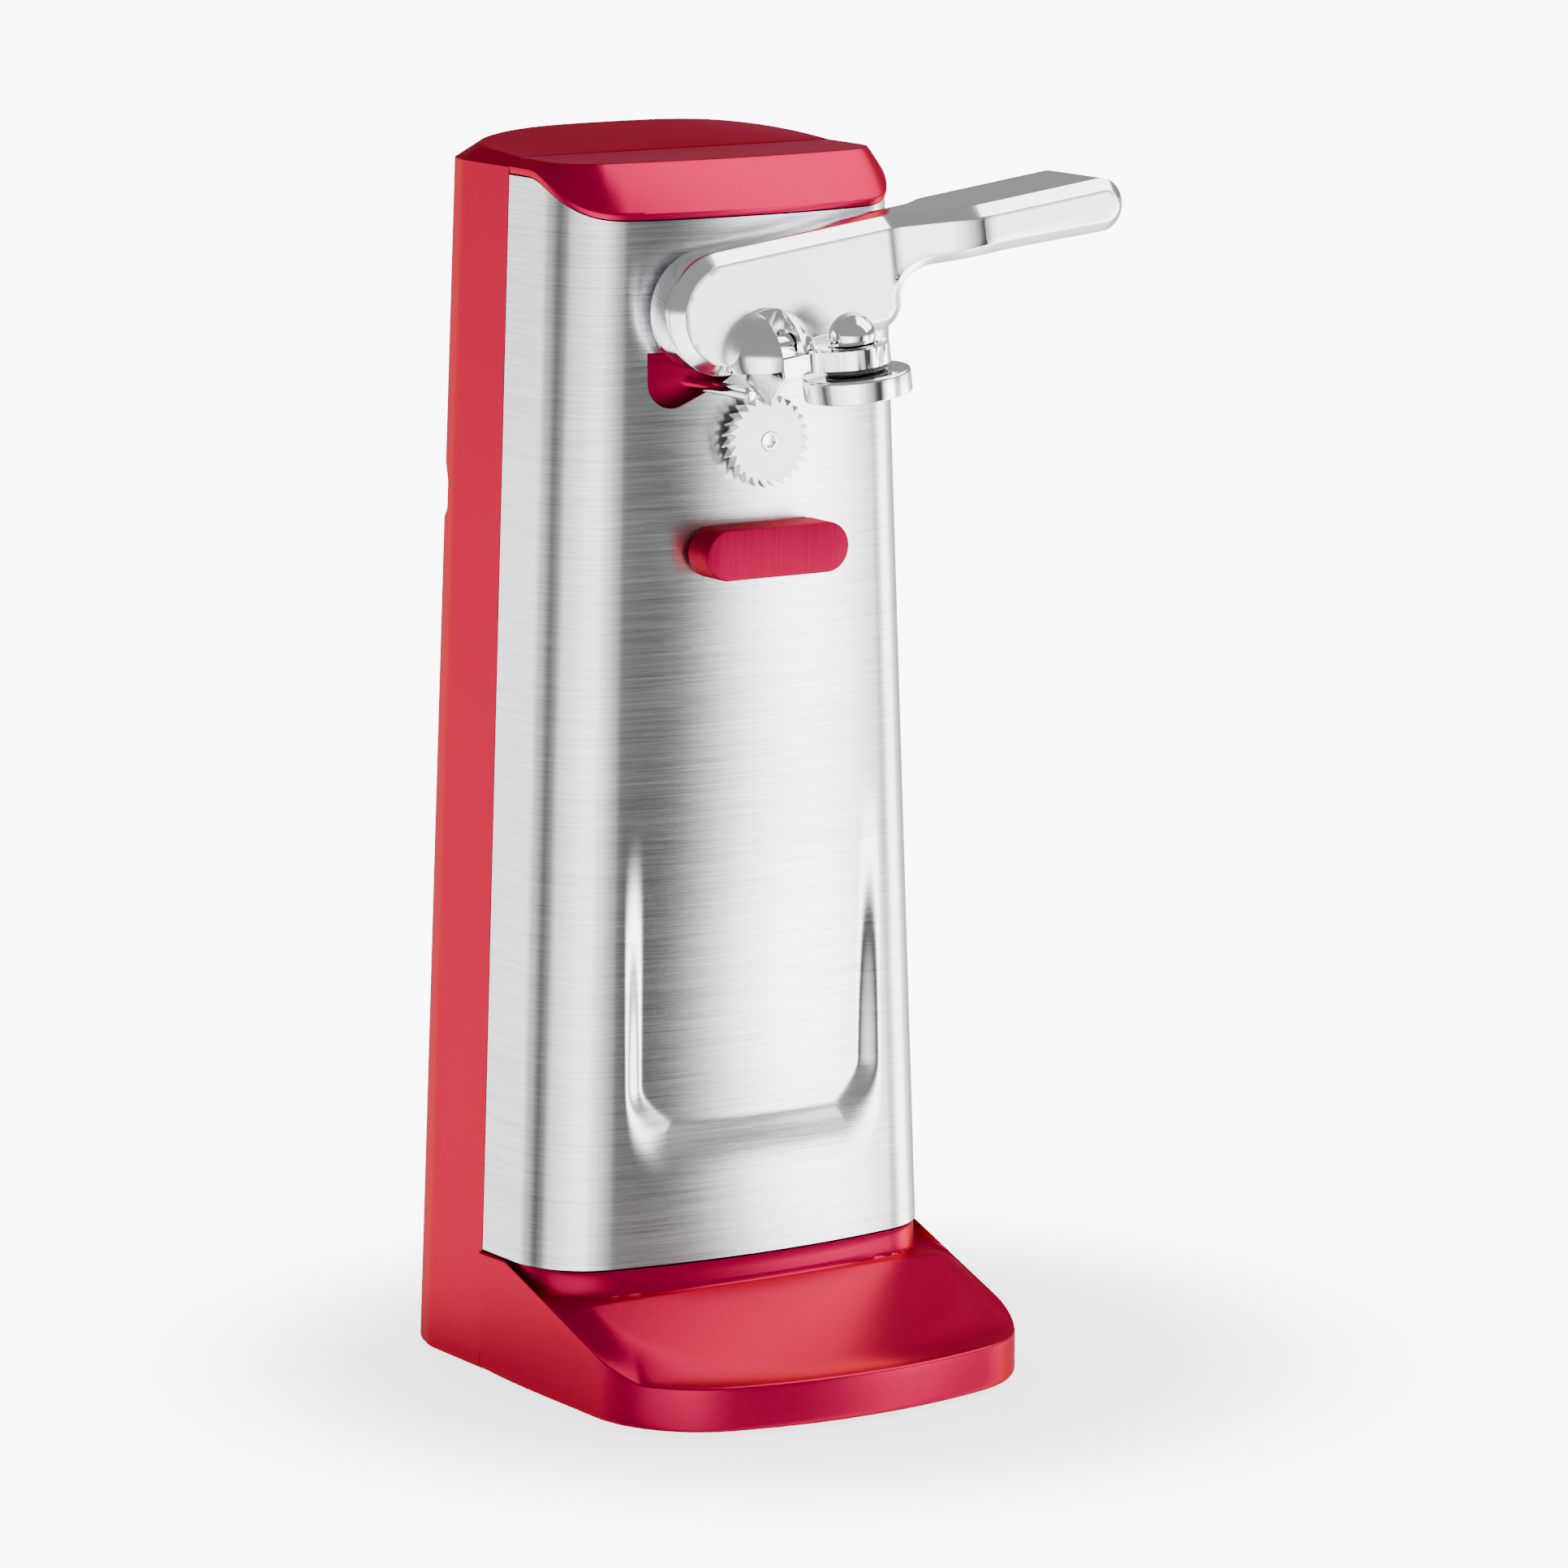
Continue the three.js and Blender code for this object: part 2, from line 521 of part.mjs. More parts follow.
const motorAxis = { x: 0, z: MOTOR.z };
const TURN_1 = meshTurn(motorAxis, AXLE_1, GEAR.pinionTeeth, 0, GEAR.wheelTeeth);
const TURN_2 = meshTurn(AXLE_1, AXLE_2, GEAR.pinionTeeth, 0, GEAR.wheelTeeth);
const TURN_3 = meshTurn(AXLE_2, final, GEAR.lastPinionTeeth, 0, GEAR.lastWheelTeeth);

function compoundGear(axis, turn, pinionTeeth, wheelFace, pinionFace) {
  const wheel = alongY(gearShape(axis, GEAR.wheelTeeth, turn), wheelFace);
  const pinion = alongY(gearShape(axis, pinionTeeth, 0), [pinionFace[0], wheelFace[0] + 0.1]);
  const web = cut(rod(axis.x, axis.z, 16.5, [wheelFace[1] - 1.2, 0]), rod(axis.x, axis.z, 6, [-30, 0]));
  return cut(union(wheel, pinion), web, rod(axis.x, axis.z, AXLE_PIN + 0.06, [-40, 0]));
}

function finalGear() {
  const wheel = alongY(gearShape(final, GEAR.lastWheelTeeth, TURN_3), FACE_C);
  const web = cut(rod(0, WHEEL.z, 14.5, [FACE_C[1] - 1.2, 0]), rod(0, WHEEL.z, 6, [-30, 0]));
  return cut(wheel, web, rod(0, WHEEL.z, SHAFT_RADIUS + GAP, [-40, 0]));
}

function driveShaft() {
  const { face, thickness } = WHEEL;
  return union(
    rod(0, WHEEL.z, 2, [face - 0.05, face + thickness + GAP], 24),
    rod(0, WHEEL.z, SHAFT_RADIUS, [face + thickness + GAP, FACE_C[1] + 0.2], 24),
  );
}

// The feed wheel: saw teeth that bite the rim of a can.
function feedWheel() {
  const { z, face, radius, root, thickness, teeth } = WHEEL;
  const step = (2 * Math.PI) / teeth;
  const points = Array.from({ length: teeth }, (_, tooth) =>
    [[radius, 0], [root, 0.16], [root + 0.25, 0.5]].map(([r, part]) => {
      const angle = (tooth + part) * step;
      return [r * Math.cos(angle), z + r * Math.sin(angle)];
    }));
  return cut(alongY(polygon(points.flat()), [face, face + thickness]), rod(0, z, 2 + 0.06, [-50, 0], 24));
}

// ---------- motor ----------
function statorCore() {
  const { x, low, high, windowLow, windowHigh } = STATOR;
  const span = [MOTOR.front, MOTOR.rear];
  return cut(
    alongY(polygon([[-x, low], [x, low], [x, high], [-x, high]]), span),
    rod(0, MOTOR.z, MOTOR.bore, [-20, 30], 32),
    box([-18, 18], [-20, 30], [windowLow, windowHigh]),
    ...MOTOR_SCREWS.map(([sx, sz]) => rod(sx, sz, SCREW.shank + GAP, [-20, 30], 10)),
  );
}

function fieldCoil() {
  const { low, windowLow, windowHigh } = STATOR;
  const outer = box([-14, 14], [MOTOR.front - 2.3, MOTOR.rear + 8], [low - 11, windowHigh - 1.4]);
  const limb = box([-20, 20], [MOTOR.front - GAP, MOTOR.rear + GAP], [low - GAP, windowLow + GAP]);
  return cut(outer, limb);
}

function motorBracket(face, direction) {
  const reach = (a, b) => [face + direction * a, face + direction * b].sort((p, q) => p - q);
  const outline = polygon([[-28, 166], [-20, 163], [20, 163], [28, 166], [28, 207], [-28, 207]]);
  return cut(
    alongY(outline, reach(GAP, 2)),
    box([-19, 19], [-30, 40], [190, 198]),
    rod(0, MOTOR.z, MOTOR.bearing + GAP, [-30, 40]),
    ...MOTOR_SCREWS.slice(0, 2).map(([x, z]) => rod(x, z, SCREW.shank + GAP, [-30, 40], 10)),
  );
}

function motorBearing(span) {
  const { z, bearing, shaft } = MOTOR;
  return cut(rod(0, z, bearing, span), rod(0, z, shaft + 0.06, [-40, 40]));
}

function motorShaft() {
  const pinion = alongY(gearShape(motorAxis, GEAR.pinionTeeth, 0), FACE_A);
  return union(pinion, rod(0, MOTOR.z, MOTOR.shaft, [FACE_A[1] - 0.1, 21], 24));
}

function rotorCore() {
  return cut(
    rod(0, MOTOR.z, MOTOR.rotor, [MOTOR.front + 0.2, MOTOR.rear - 0.2], 32),
    rod(0, MOTOR.z, MOTOR.shaft + GAP, [-20, 30]),
  );
}

// ---------- knife sharpener ----------
function sharpeningStone() {
  const { radius, span } = STONE_SIZE;
  return cut(rod(0, MOTOR.z, radius, span), rod(0, MOTOR.z, MOTOR.shaft + GAP, [0, 30]));
}

function sharpenerGuide() {
  const { depth, floorLow, floorHigh, low } = CHANNEL;
  const face = rearAt(low) - depth;
  const block = union(
    box([-13.6, 13.6], [face - WALL, face + 0.8], [floorLow + 0.8, floorHigh - 0.8]),
    box([-15.5, 15.5], [face + GAP, face + 1.8], [floorLow + 0.2, floorHigh - 0.2]),
  );
  const slots = [-6, 6].map((x) => box([x - 1.1, x + 1.1], [0, 40], [floorLow - 1, floorHigh - 1.6]));
  return cut(block, ...slots);
}

// ---------- switch worked by the lever's cam ----------
function camRadius(turn) {
  const fall = Math.min(1, Math.max(0, turn / SWITCH.swing));
  return CAM.high - (SWITCH.travel + 0.4) * fall;
}

// Outline of the cam about the lever's axis: its radius falls by more than the plunger's travel.
function camShape() {
  const steps = 36;
  const points = Array.from({ length: steps }, (_, i) => {
    const turn = (360 * i) / steps;
    const radius = turn < 200 ? CAM.high - 0.02 : camRadius(360 - turn) - (turn < 320 ? 1.2 : 0);
    const angle = THREE.MathUtils.degToRad(turn - LEVER.tilt);
    return [radius * Math.cos(angle), radius * Math.sin(angle)];
  });
  return polygon(points);
}

function switchBody() {
  const { x, y, z } = SWITCH;
  const mid = (z[0] + z[1]) / 2;
  const well = box([x[0] - 1, x[0] + 7], [-18.6, -14.8], [mid - 2.2, mid + 2.2]);
  const body = cut(box(x, y, z), well, rod(x[1] - 4, mid, SCREW.shank + GAP, [-30, 0], 10));
  const legs = [8, 16].map((along) =>
    box([x[0] + along, x[0] + along + 3], [y[1] - 0.1, PLATE.front - GAP], [z[1] - 3, z[1]]));
  return union(body, ...legs);
}

function switchPlunger() {
  const { x, z } = SWITCH;
  const mid = (z[0] + z[1]) / 2;
  const tip = LEVER.x + CAM.high + GAP;
  return box([tip, x[0] + 4.6], [-18.4, -15], [mid - 2, mid + 2]);
}

// ---------- lever head, drawn about its own axis with p along the handle and q across it ----------
function leverOutline() {
  const { hub } = LEVER;
  const { length, top, bottom } = HANDLE;
  const end = 5.6;
  const shape = new THREE.Shape().moveTo(length - end, top).lineTo(0, hub);
  shape.absarc(0, 0, hub, Math.PI / 2, 1.58 * Math.PI, false);
  shape.lineTo(6, -11.4).lineTo(12, -11).lineTo(16, -10.6).lineTo(36.2, -10.4);
  shape.absarc(36.5, -5.2, 5.2, -Math.PI / 2, -0.15, false);
  shape.absarc(48.4, -5.2, 6.8, Math.PI - 0.15, Math.PI / 2, true);
  shape.lineTo(60, bottom + 1.2).lineTo(length - end, bottom);
  const middle = (top + bottom) / 2;
  return shape.absarc(length - end, middle, (top - bottom) / 2, -Math.PI / 2, Math.PI / 2, false);
}

function leverPlan() {
  const { face, back } = LEVER;
  const { length, bend, ramp } = HANDLE;
  return polygon([
    [-20, face], [bend, face], [bend + ramp, HANDLE.face], [length + 1, HANDLE.face],
    [length + 1, HANDLE.back], [bend + 13.5, HANDLE.back], [bend + 11, back], [-20, back],
  ]);
}

function leverCasting() {
  const { p, q, radius, flat, slotFrom, slotTo } = DOME;
  const { face, back } = LEVER;
  const arm = alongY(leverOutline(), [-54, -28], 10).intersect(alongZ(leverPlan(), [-30, 30]));
  const ball = solid(new THREE.SphereGeometry(radius, 18, 10).translate(p, face, q));
  const dome = cut(ball, box([-40, 60], [-80, 0], [-60, flat]), box([-40, 60], [face + 4, 0], [-60, 60]));
  return cut(
    union(arm, dome),
    box([slotFrom, slotTo], [-60, face - 1.2], [-30, 20]),
    box([slotTo - 0.1, 40], [-60, face - 0.2], [flat - 5, ringSpan[1] + 0.8]),
    rod(0, 0, 4 + GAP, [back - 6, 0]),
    alongX(circle(ARM_PIN.y, ARM_PIN.q, ARM_PIN.radius + 0.12), [-8, 30], 16),
    alongY(polygon(bladeSeat(GAP)), [BLADE.front - GAP, back + 5]),
    rod(BLADE.p, BLADE.q + BLADE.screw, SCREW.shank + GAP, [BLADE.front - 3, back + 5], 10),
  );
}

function leverSpindle() {
  const disc = alongY(camShape(), CAM.y);
  return union(
    rod(0, 0, 4, [LEVER.back - 5.6, PLATE.rear + 0.6]),
    rod(0, 0, 5, [LEVER.back + GAP, CAM.y[0] + 0.1]),
    disc,
  );
}

function bladeSeat(grow) {
  const { p, q } = BLADE;
  const [left, right, high] = [p - 7.6 - grow, p + 8 + grow, q + 10 + grow];
  return [[left, q], [right, q], [right, high], [left, high]];
}

function cutterBlade() {
  const { p, q, tip, front, thickness, screw } = BLADE;
  const outline = polygon([
    [p - 7.4, q + 9.6], [p - 7.4, q + 1.4], [p - 4.4, q + 0.4], [p - 4.9, q - 1.4], [p, tip],
    [p + 7.8, q], [p + 7.8, q + 9.6],
  ]);
  const hole = rod(p, q + screw, SCREW.shank + GAP, [-40, -30], 10);
  return cut(alongY(outline, [front, front + thickness]), hole);
}

function bladeScrew() {
  const { p, q, front, thickness, screw } = BLADE;
  const seat = front + thickness + GAP / 2;
  return union(
    rod(p, q + screw, SCREW.head, [seat, seat + 1.4], 10),
    rod(p, q + screw, SCREW.shank, [front - 0.4, seat + 0.1], 10),
  );
}

function armPin() {
  const { y, q, radius, from, to } = ARM_PIN;
  return alongX(circle(y, q, radius), [from, to], 16);
}

// ---------- magnet arm, its ball-headed stud and the magnet ----------
function magnetArm() {
  const { p, y, ring, stud } = MAGNET;
  const width = [DOME.slotFrom + 0.4, DOME.slotTo - 0.4];
  const [low, high] = ringSpan;
  const front = ARM_PIN.y - 2.2;
  const eye = alongX(circle(ARM_PIN.y, ARM_PIN.q, 2.6), width, 16);
  const web = box(width, [front, ARM_PIN.y + 2], [low + 1.2, ARM_PIN.q]);
  const neck = box([width[0], p - ring + 2], [front, ARM_PIN.y + 1], [low + 0.2, high - 0.2]);
  return cut(
    union(eye, web, neck, post(p, y, ring, ringSpan, 32)),
    post(p, y, stud + 1, [-30, 0], 20),
    alongX(circle(ARM_PIN.y, ARM_PIN.q, ARM_PIN.radius + 0.12), [0, 20], 16),
  );
}

function magnetStud() {
  const { p, y, stud } = MAGNET;
  const cap = solid(new THREE.SphereGeometry(BALL.radius, 16, 8).translate(p, y, ringSpan[1] + BALL.lift));
  return union(
    cut(cap, box([p - 9, p + 9], [y - 9, y + 9], [-30, ringSpan[1] + 0.35])),
    post(p, y, stud, [CUP.top - 0.8, ringSpan[1] + 1], 16),
  );
}

function magnetWasher() {
  const { p, y, ring, stud } = MAGNET;
  const plate = post(p, y, ring - 1, [CUP.top + 0.44, ringSpan[0] - 0.36]);
  return cut(plate, post(p, y, stud + GAP, [-30, 0], 16));
}

function magnetCup() {
  const { p, y, stud } = MAGNET;
  const { radius, top, height, wall, roof } = CUP;
  return cut(
    post(p, y, radius, [top - height, top], 28),
    post(p, y, radius - wall, [top - height - 1, top - roof], 28),
    post(p, y, stud + GAP, [-30, 0], 16),
  );
}

function magnetDisc() {
  const { radius, top, height, wall, roof } = CUP;
  return post(MAGNET.p, MAGNET.y, radius - wall - GAP, [top - height + 0.2, top - roof - GAP], 28);
}

// ---------- the assembly ----------
add('rear_housing', rearHousing(), RED);
add('front_housing', frontHousing(), RED);
add('steel_cover', steelCover(), BRUSHED);
add('can_rest', canRest(), RED);
add('guide_pin', guidePin(), CHROME);
add('base_plate', basePlate(), DARK);
FOOT_PLACES.forEach(([x, y], i) => add(`foot_${i + 1}`, foot(x, y), RUBBER));
BASE_SCREWS.forEach(([x, y], i) => add(`base_screw_${i + 1}`, baseScrew(x, y), BRUSHED));
BOSSES.forEach(([x, z], i) => {
  add(`housing_screw_${i + 1}`, screwAlongY(x, z, SCREW_SEAT + GAP + 0.1, 20), BRUSHED);
});
add('cord_inlet', cordInlet(), RUBBER);
add('mounting_plate', mountingPlate(), LAMINATION);
PLATE_BOSSES.forEach(([x, z], i) => {
  add(`plate_screw_${i + 1}`, screwAlongY(x, z, PLATE.rear + 0.15, 10), BRUSHED);
});
add('drive_bush', driveBush(), BRASS);
add('axle_pin_1', axlePin(AXLE_1, FACE_B[0] - 0.6), CHROME);
add('axle_pin_2', axlePin(AXLE_2, FACE_C[0] - 0.6), CHROME);
add('reduction_gear_1', compoundGear(AXLE_1, TURN_1, GEAR.pinionTeeth, FACE_A, FACE_B), NYLON);
add('reduction_gear_2', compoundGear(AXLE_2, TURN_2, GEAR.lastPinionTeeth, FACE_B, FACE_C), NYLON);
add('final_gear', finalGear(), BRASS);
add('drive_shaft', driveShaft(), CHROME);
add('feed_wheel', feedWheel(), CHROME);
add('stator_core', statorCore(), LAMINATION);
add('field_coil', fieldCoil(), COPPER);
add('motor_front_bracket', motorBracket(MOTOR.front, -1), BRUSHED);
add('motor_rear_bracket', motorBracket(MOTOR.rear, 1), BRUSHED);
add('motor_front_bearing', motorBearing([-5.8, -3.2]), BRASS);
add('motor_rear_bearing', motorBearing([10.8, 13.6]), BRASS);
MOTOR_SCREWS.forEach(([x, z], i) => {
  add(`motor_screw_${i + 1}`, screwAlongY(x, z, MOTOR.rear + 2.3, 22), BRUSHED);
});
add('motor_shaft', motorShaft(), CHROME);
add('rotor_core', rotorCore(), LAMINATION);
add('sharpening_stone', sharpeningStone(), STONE);
add('sharpener_guide', sharpenerGuide(), DARK);
add('switch_body', switchBody(), DARK);
add('switch_plunger', switchPlunger(), NYLON);

add('lever_casting', leverCasting(), CAST, leverGroup);
add('lever_spindle', leverSpindle(), CHROME, leverGroup);
add('cutter_blade', cutterBlade(), BRUSHED, leverGroup);
add('blade_screw', bladeScrew(), BRUSHED, leverGroup);
add('arm_pin', armPin(), CHROME, leverGroup);
add('magnet_arm', magnetArm(), CHROME, leverGroup);
add('magnet_stud', magnetStud(), CHROME, leverGroup);
add('magnet_washer', magnetWasher(), DARK, leverGroup);
add('magnet_cup', magnetCup(), CHROME, leverGroup);
add('magnet_disc', magnetDisc(), LAMINATION, leverGroup);
leverGroup.position.set(LEVER.x, 0, LEVER.z);
leverGroup.rotation.y = -THREE.MathUtils.degToRad(LEVER.tilt);
group.add(leverGroup);

group.updateMatrixWorld(true);
const bounds = new THREE.Box3().setFromObject(group, true);
const middle = bounds.getCenter(new THREE.Vector3());
group.position.set(-middle.x, -middle.y, -bounds.min.z);

export default group;
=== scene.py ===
"""Looks of an upright electric can opener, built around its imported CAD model.

Shapes are worked out in the housing's own frame in millimetres (X right, Y to the rear from the
seam between the two housings, Z up from the lower edge of the base) and are put into the row's
frame in metres when their mesh is made.
"""

import logging
import math
from dataclasses import dataclass, field
from enum import Enum
from typing import Callable, Sequence

import bmesh
import bpy
import numpy as np
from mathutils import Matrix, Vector
from mathutils.geometry import delaunay_2d_cdt


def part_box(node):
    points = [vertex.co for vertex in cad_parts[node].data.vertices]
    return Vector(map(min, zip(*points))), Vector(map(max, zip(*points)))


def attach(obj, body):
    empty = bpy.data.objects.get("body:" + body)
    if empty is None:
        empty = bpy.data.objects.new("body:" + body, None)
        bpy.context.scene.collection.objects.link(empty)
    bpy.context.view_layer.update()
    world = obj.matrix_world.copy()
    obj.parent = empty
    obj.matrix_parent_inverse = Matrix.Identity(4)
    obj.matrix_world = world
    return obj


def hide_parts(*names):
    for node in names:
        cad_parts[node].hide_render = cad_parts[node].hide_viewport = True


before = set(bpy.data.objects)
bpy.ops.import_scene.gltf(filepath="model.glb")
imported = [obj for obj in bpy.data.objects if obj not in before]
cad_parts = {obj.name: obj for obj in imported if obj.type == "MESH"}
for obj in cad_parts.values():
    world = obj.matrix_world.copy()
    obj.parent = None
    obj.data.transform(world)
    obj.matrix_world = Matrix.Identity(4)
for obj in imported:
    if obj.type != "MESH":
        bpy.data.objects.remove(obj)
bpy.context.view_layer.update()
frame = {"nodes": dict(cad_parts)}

LOG = logging.getLogger("can_opener")
MM = 0.001
Array = np.ndarray


# ---------------------------------------------------------------- places and small formulas


def row_shift() -> Array:
    """Place of the housing frame's zero in the row's frame, from round and flat CAD pieces.

    The drive bush is round about X = 0, Z = 194.3, and the front housing ends 0.15 mm before the
    seam.

    Returns:
        The shift in millimetres.
    """
    low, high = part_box("drive_bush")
    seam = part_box("front_housing")[1].y
    return np.array([(low.x + high.x) / 2, seam + 0.15 * MM, (low.z + high.z) / 2 - 194.3 * MM]) / MM


SHIFT = row_shift()


def smooth(t: Array) -> Array:
    """Ease from 0 to 1: 3t^2 - 2t^3, held at both ends."""
    held = np.clip(t, 0.0, 1.0)
    return held * held * (3.0 - 2.0 * held)


def mix(a: Array, b: Array, t: Array) -> Array:
    """Straight blend from a to b."""
    return a + (b - a) * t


def resample(points: Array, count: int) -> Array:
    """Evenly spaced points along an open line.

    Args:
        points: the line's corner points, one per row.
        count: how many points to return.

    Returns:
        Points at equal steps of arc length, by linear interpolation.
    """
    steps = np.linalg.norm(np.diff(points, axis=0), axis=1)
    along = np.concatenate([[0.0], np.cumsum(steps)])
    wanted = np.linspace(0.0, along[-1], count)
    return np.stack([np.interp(wanted, along, points[:, k]) for k in range(points.shape[1])], axis=1)


def arc(centre: Sequence[float], radius: float, start: float, end: float, count: int) -> Array:
    """Points on a circular arc: centre + radius * (cos a, sin a) for a from start to end degrees."""
    angle = np.radians(np.linspace(start, end, count))
    return np.stack([centre[0] + radius * np.cos(angle), centre[1] + radius * np.sin(angle)], axis=1)


# ---------------------------------------------------------------- meshes


@dataclass
class Sheet:
    """Vertices and faces gathered from grids and caps, made into one object at the end."""

    name: str
    points: list = field(default_factory=list)
    quads: list = field(default_factory=list)
    triangles: list = field(default_factory=list)
    count: int = 0

    def grid(self, surface: Array, wrap: bool = False) -> "Sheet":
        """Adds a grid of quads.

        Args:
            surface: points of shape (rows, columns, 3).
            wrap: whether the last column joins the first.

        Returns:
            This sheet.
        """
        rows, columns = surface.shape[:2]
        index = np.arange(rows * columns).reshape(rows, columns) + self.count
        right = np.roll(index, -1, axis=1) if wrap else index[:, 1:]
        left = index if wrap else index[:, :-1]
        faces = np.stack([left[:-1], right[:-1], right[1:], left[1:]], axis=-1)
        self.points.append(surface.reshape(-1, 3))
        self.quads.append(faces.reshape(-1, 4))
        self.count += rows * columns
        return self

    def fan(self, ring: Array, hub: Array) -> "Sheet":
        """Closes a ring of points with triangles to one hub point."""
        size = len(ring)
        index = np.arange(size) + self.count
        faces = np.stack([index, np.roll(index, -1), np.full(size, self.count + size)], axis=1)
        self.points.append(np.vstack([ring, hub[None, :]]))
        self.triangles.append(faces)
        self.count += size + 1
        return self

    def fan_ends(self) -> "Sheet":
        """Closes the first and last rows of the last grid, for a turned tube."""
        surface, size = self.points[-1], len(self.points[-1]) // 2
        self.fan(surface[:size], surface[:size].mean(axis=0))
        return self.fan(surface[-size:], surface[-size:].mean(axis=0))

    def facets(self, points: Array, faces: Array) -> "Sheet":
        """Adds loose triangles."""
        self.points.append(points)
        self.triangles.append(faces + self.count)
        self.count += len(points)
        return self

    def make(
        self, sharp: float = 32.0, outward: bool = True, weld: float = 1e-5, close: bool = False
    ) -> bpy.types.Object:
        """Makes the object, welds doubles and turns the faces outwards.

        Args:
            sharp: edges that turn by more than this many degrees are shaded sharp.
            outward: whether the normals are recalculated as those of a closed solid.
            weld: vertices closer than this, in metres, become one.
            close: whether open edges are filled.

        Returns:
            The finished object, at the origin with its place in its mesh.
        """
        place = (np.vstack(self.points) + SHIFT) * MM
        faces = [tuple(row) for block in self.quads for row in block.tolist()]
        faces += [tuple(row) for block in self.triangles for row in block.tolist()]
        mesh = bpy.data.meshes.new(self.name)
        mesh.from_pydata(place.tolist(), [], faces)
        work = bmesh.new()
        work.from_mesh(mesh)
        bmesh.ops.remove_doubles(work, verts=work.verts, dist=weld)
        bmesh.ops.dissolve_degenerate(work, edges=work.edges, dist=weld * 0.1)
        if close:
            bmesh.ops.holes_fill(work, edges=[edge for edge in work.edges if edge.is_boundary], sides=0)
        if outward:
            bmesh.ops.recalc_face_normals(work, faces=work.faces)
        work.to_mesh(mesh)
        work.free()
        mesh.shade_smooth()
        mesh.set_sharp_from_angle(angle=math.radians(sharp))
        piece = bpy.data.objects.new(self.name, mesh)
        bpy.context.scene.collection.objects.link(piece)
        return piece


def bake_modifiers(piece: bpy.types.Object, sharp: float = 32.0) -> bpy.types.Object:
    """Turns a piece's live modifiers into its mesh and marks its sharp edges again."""
    graph = bpy.context.evaluated_depsgraph_get()
    mesh = bpy.data.meshes.new_from_object(piece.evaluated_get(graph))
    piece.modifiers.clear()
    old = piece.data
    piece.data = mesh
    bpy.data.meshes.remove(old)
    mesh.shade_smooth()
    mesh.set_sharp_from_angle(angle=math.radians(sharp))
    return piece


def thicken(piece: bpy.types.Object, wall: float, even: bool = True) -> bpy.types.Object:
    """Gives an open outer skin a wall, grown inwards by a Solidify modifier, in millimetres."""
    solid = piece.modifiers.new("wall", "SOLIDIFY")
    solid.thickness = wall * MM
    solid.offset = -1.0
    solid.use_even_offset = even
    solid.use_quality_normals = True
    return bake_modifiers(piece)


def carve(
    piece: bpy.types.Object, cutters: Sequence[bpy.types.Object], join: bool = False
) -> bpy.types.Object:
    """Cuts closed solids out of a piece, or joins them to it, and removes them."""
    for cutter in cutters:
        step = piece.modifiers.new("carve", "BOOLEAN")
        step.operation = "UNION" if join else "DIFFERENCE"
        step.solver = "EXACT"
        step.object = cutter
    bake_modifiers(piece)
    for cutter in cutters:
        bpy.data.objects.remove(cutter)
    return piece


def soften(
    piece: bpy.types.Object, width: float, turn: float = 40.0, segments: int = 2
) -> bpy.types.Object:
    """Rounds a piece's edges that turn by more than some degrees, by a Bevel modifier."""
    bevel = piece.modifiers.new("edge", "BEVEL")
    bevel.width = width * MM
    bevel.segments = segments
    bevel.limit_method = "ANGLE"
    bevel.angle_limit = math.radians(turn)
    bevel.use_clamp_overlap = True
    bevel.harden_normals = False
    return bake_modifiers(piece)


def lathe(name: str, profile: Array, centre: Sequence[float], axis: Array, sides: int = 72) -> Sheet:
    """A turned piece: radius * (cos a, sin a) round a line, carried along it by the profile.

    Args:
        name: the piece's name.
        profile: rows of (radius, place along the axis), from one end to the other.
        centre: a point on the axis.
        axis: the axis' direction.
        sides: steps round the axis.

    Returns:
        The sheet, closed at both ends where the radius reaches zero.
    """
    along = np.asarray(axis, float) / np.linalg.norm(axis)
    helper = np.array([0.0, 0.0, 1.0]) if abs(along[2]) < 0.9 else np.array([1.0, 0.0, 0.0])
    across = np.cross(along, helper)
    across /= np.linalg.norm(across)
    third = np.cross(along, across)
    angle = np.linspace(0.0, 2.0 * np.pi, sides, endpoint=False)
    spoke = np.cos(angle)[:, None] * across + np.sin(angle)[:, None] * third
    radius = profile[:, 0][:, None, None]
    surface = np.asarray(centre) + radius * spoke[None] + profile[:, 1][:, None, None] * along
    return Sheet(name).grid(surface, wrap=True)


def rounded_profile(corners: Sequence[Sequence[float]], radii: Sequence[float], steps: int = 5) -> Array:
    """An open profile with its inner corners rounded by circular arcs.

    Args:
        corners: the corner points.
        radii: the rounding at each corner; the first and last are not used.
        steps: points on each arc.

    Returns:
        The profile's points. Each arc is a quadratic curve between the two tangent points.
    """
    corner = np.asarray(corners, float)
    parts = [corner[:1]]
    for before, here, after, radius in zip(corner[:-2], corner[1:-1], corner[2:], radii[1:-1]):
        back = (before - here) / np.linalg.norm(before - here)
        onward = (after - here) / np.linalg.norm(after - here)
        reach = min(radius, 0.49 * np.linalg.norm(before - here), 0.49 * np.linalg.norm(after - here))
        start, end = here + back * reach, here + onward * reach
        t = np.linspace(0.0, 1.0, steps)[:, None]
        parts.append((1 - t) ** 2 * start + 2 * t * (1 - t) * here + t ** 2 * end)
    parts.append(corner[-1:])
    return np.vstack(parts)


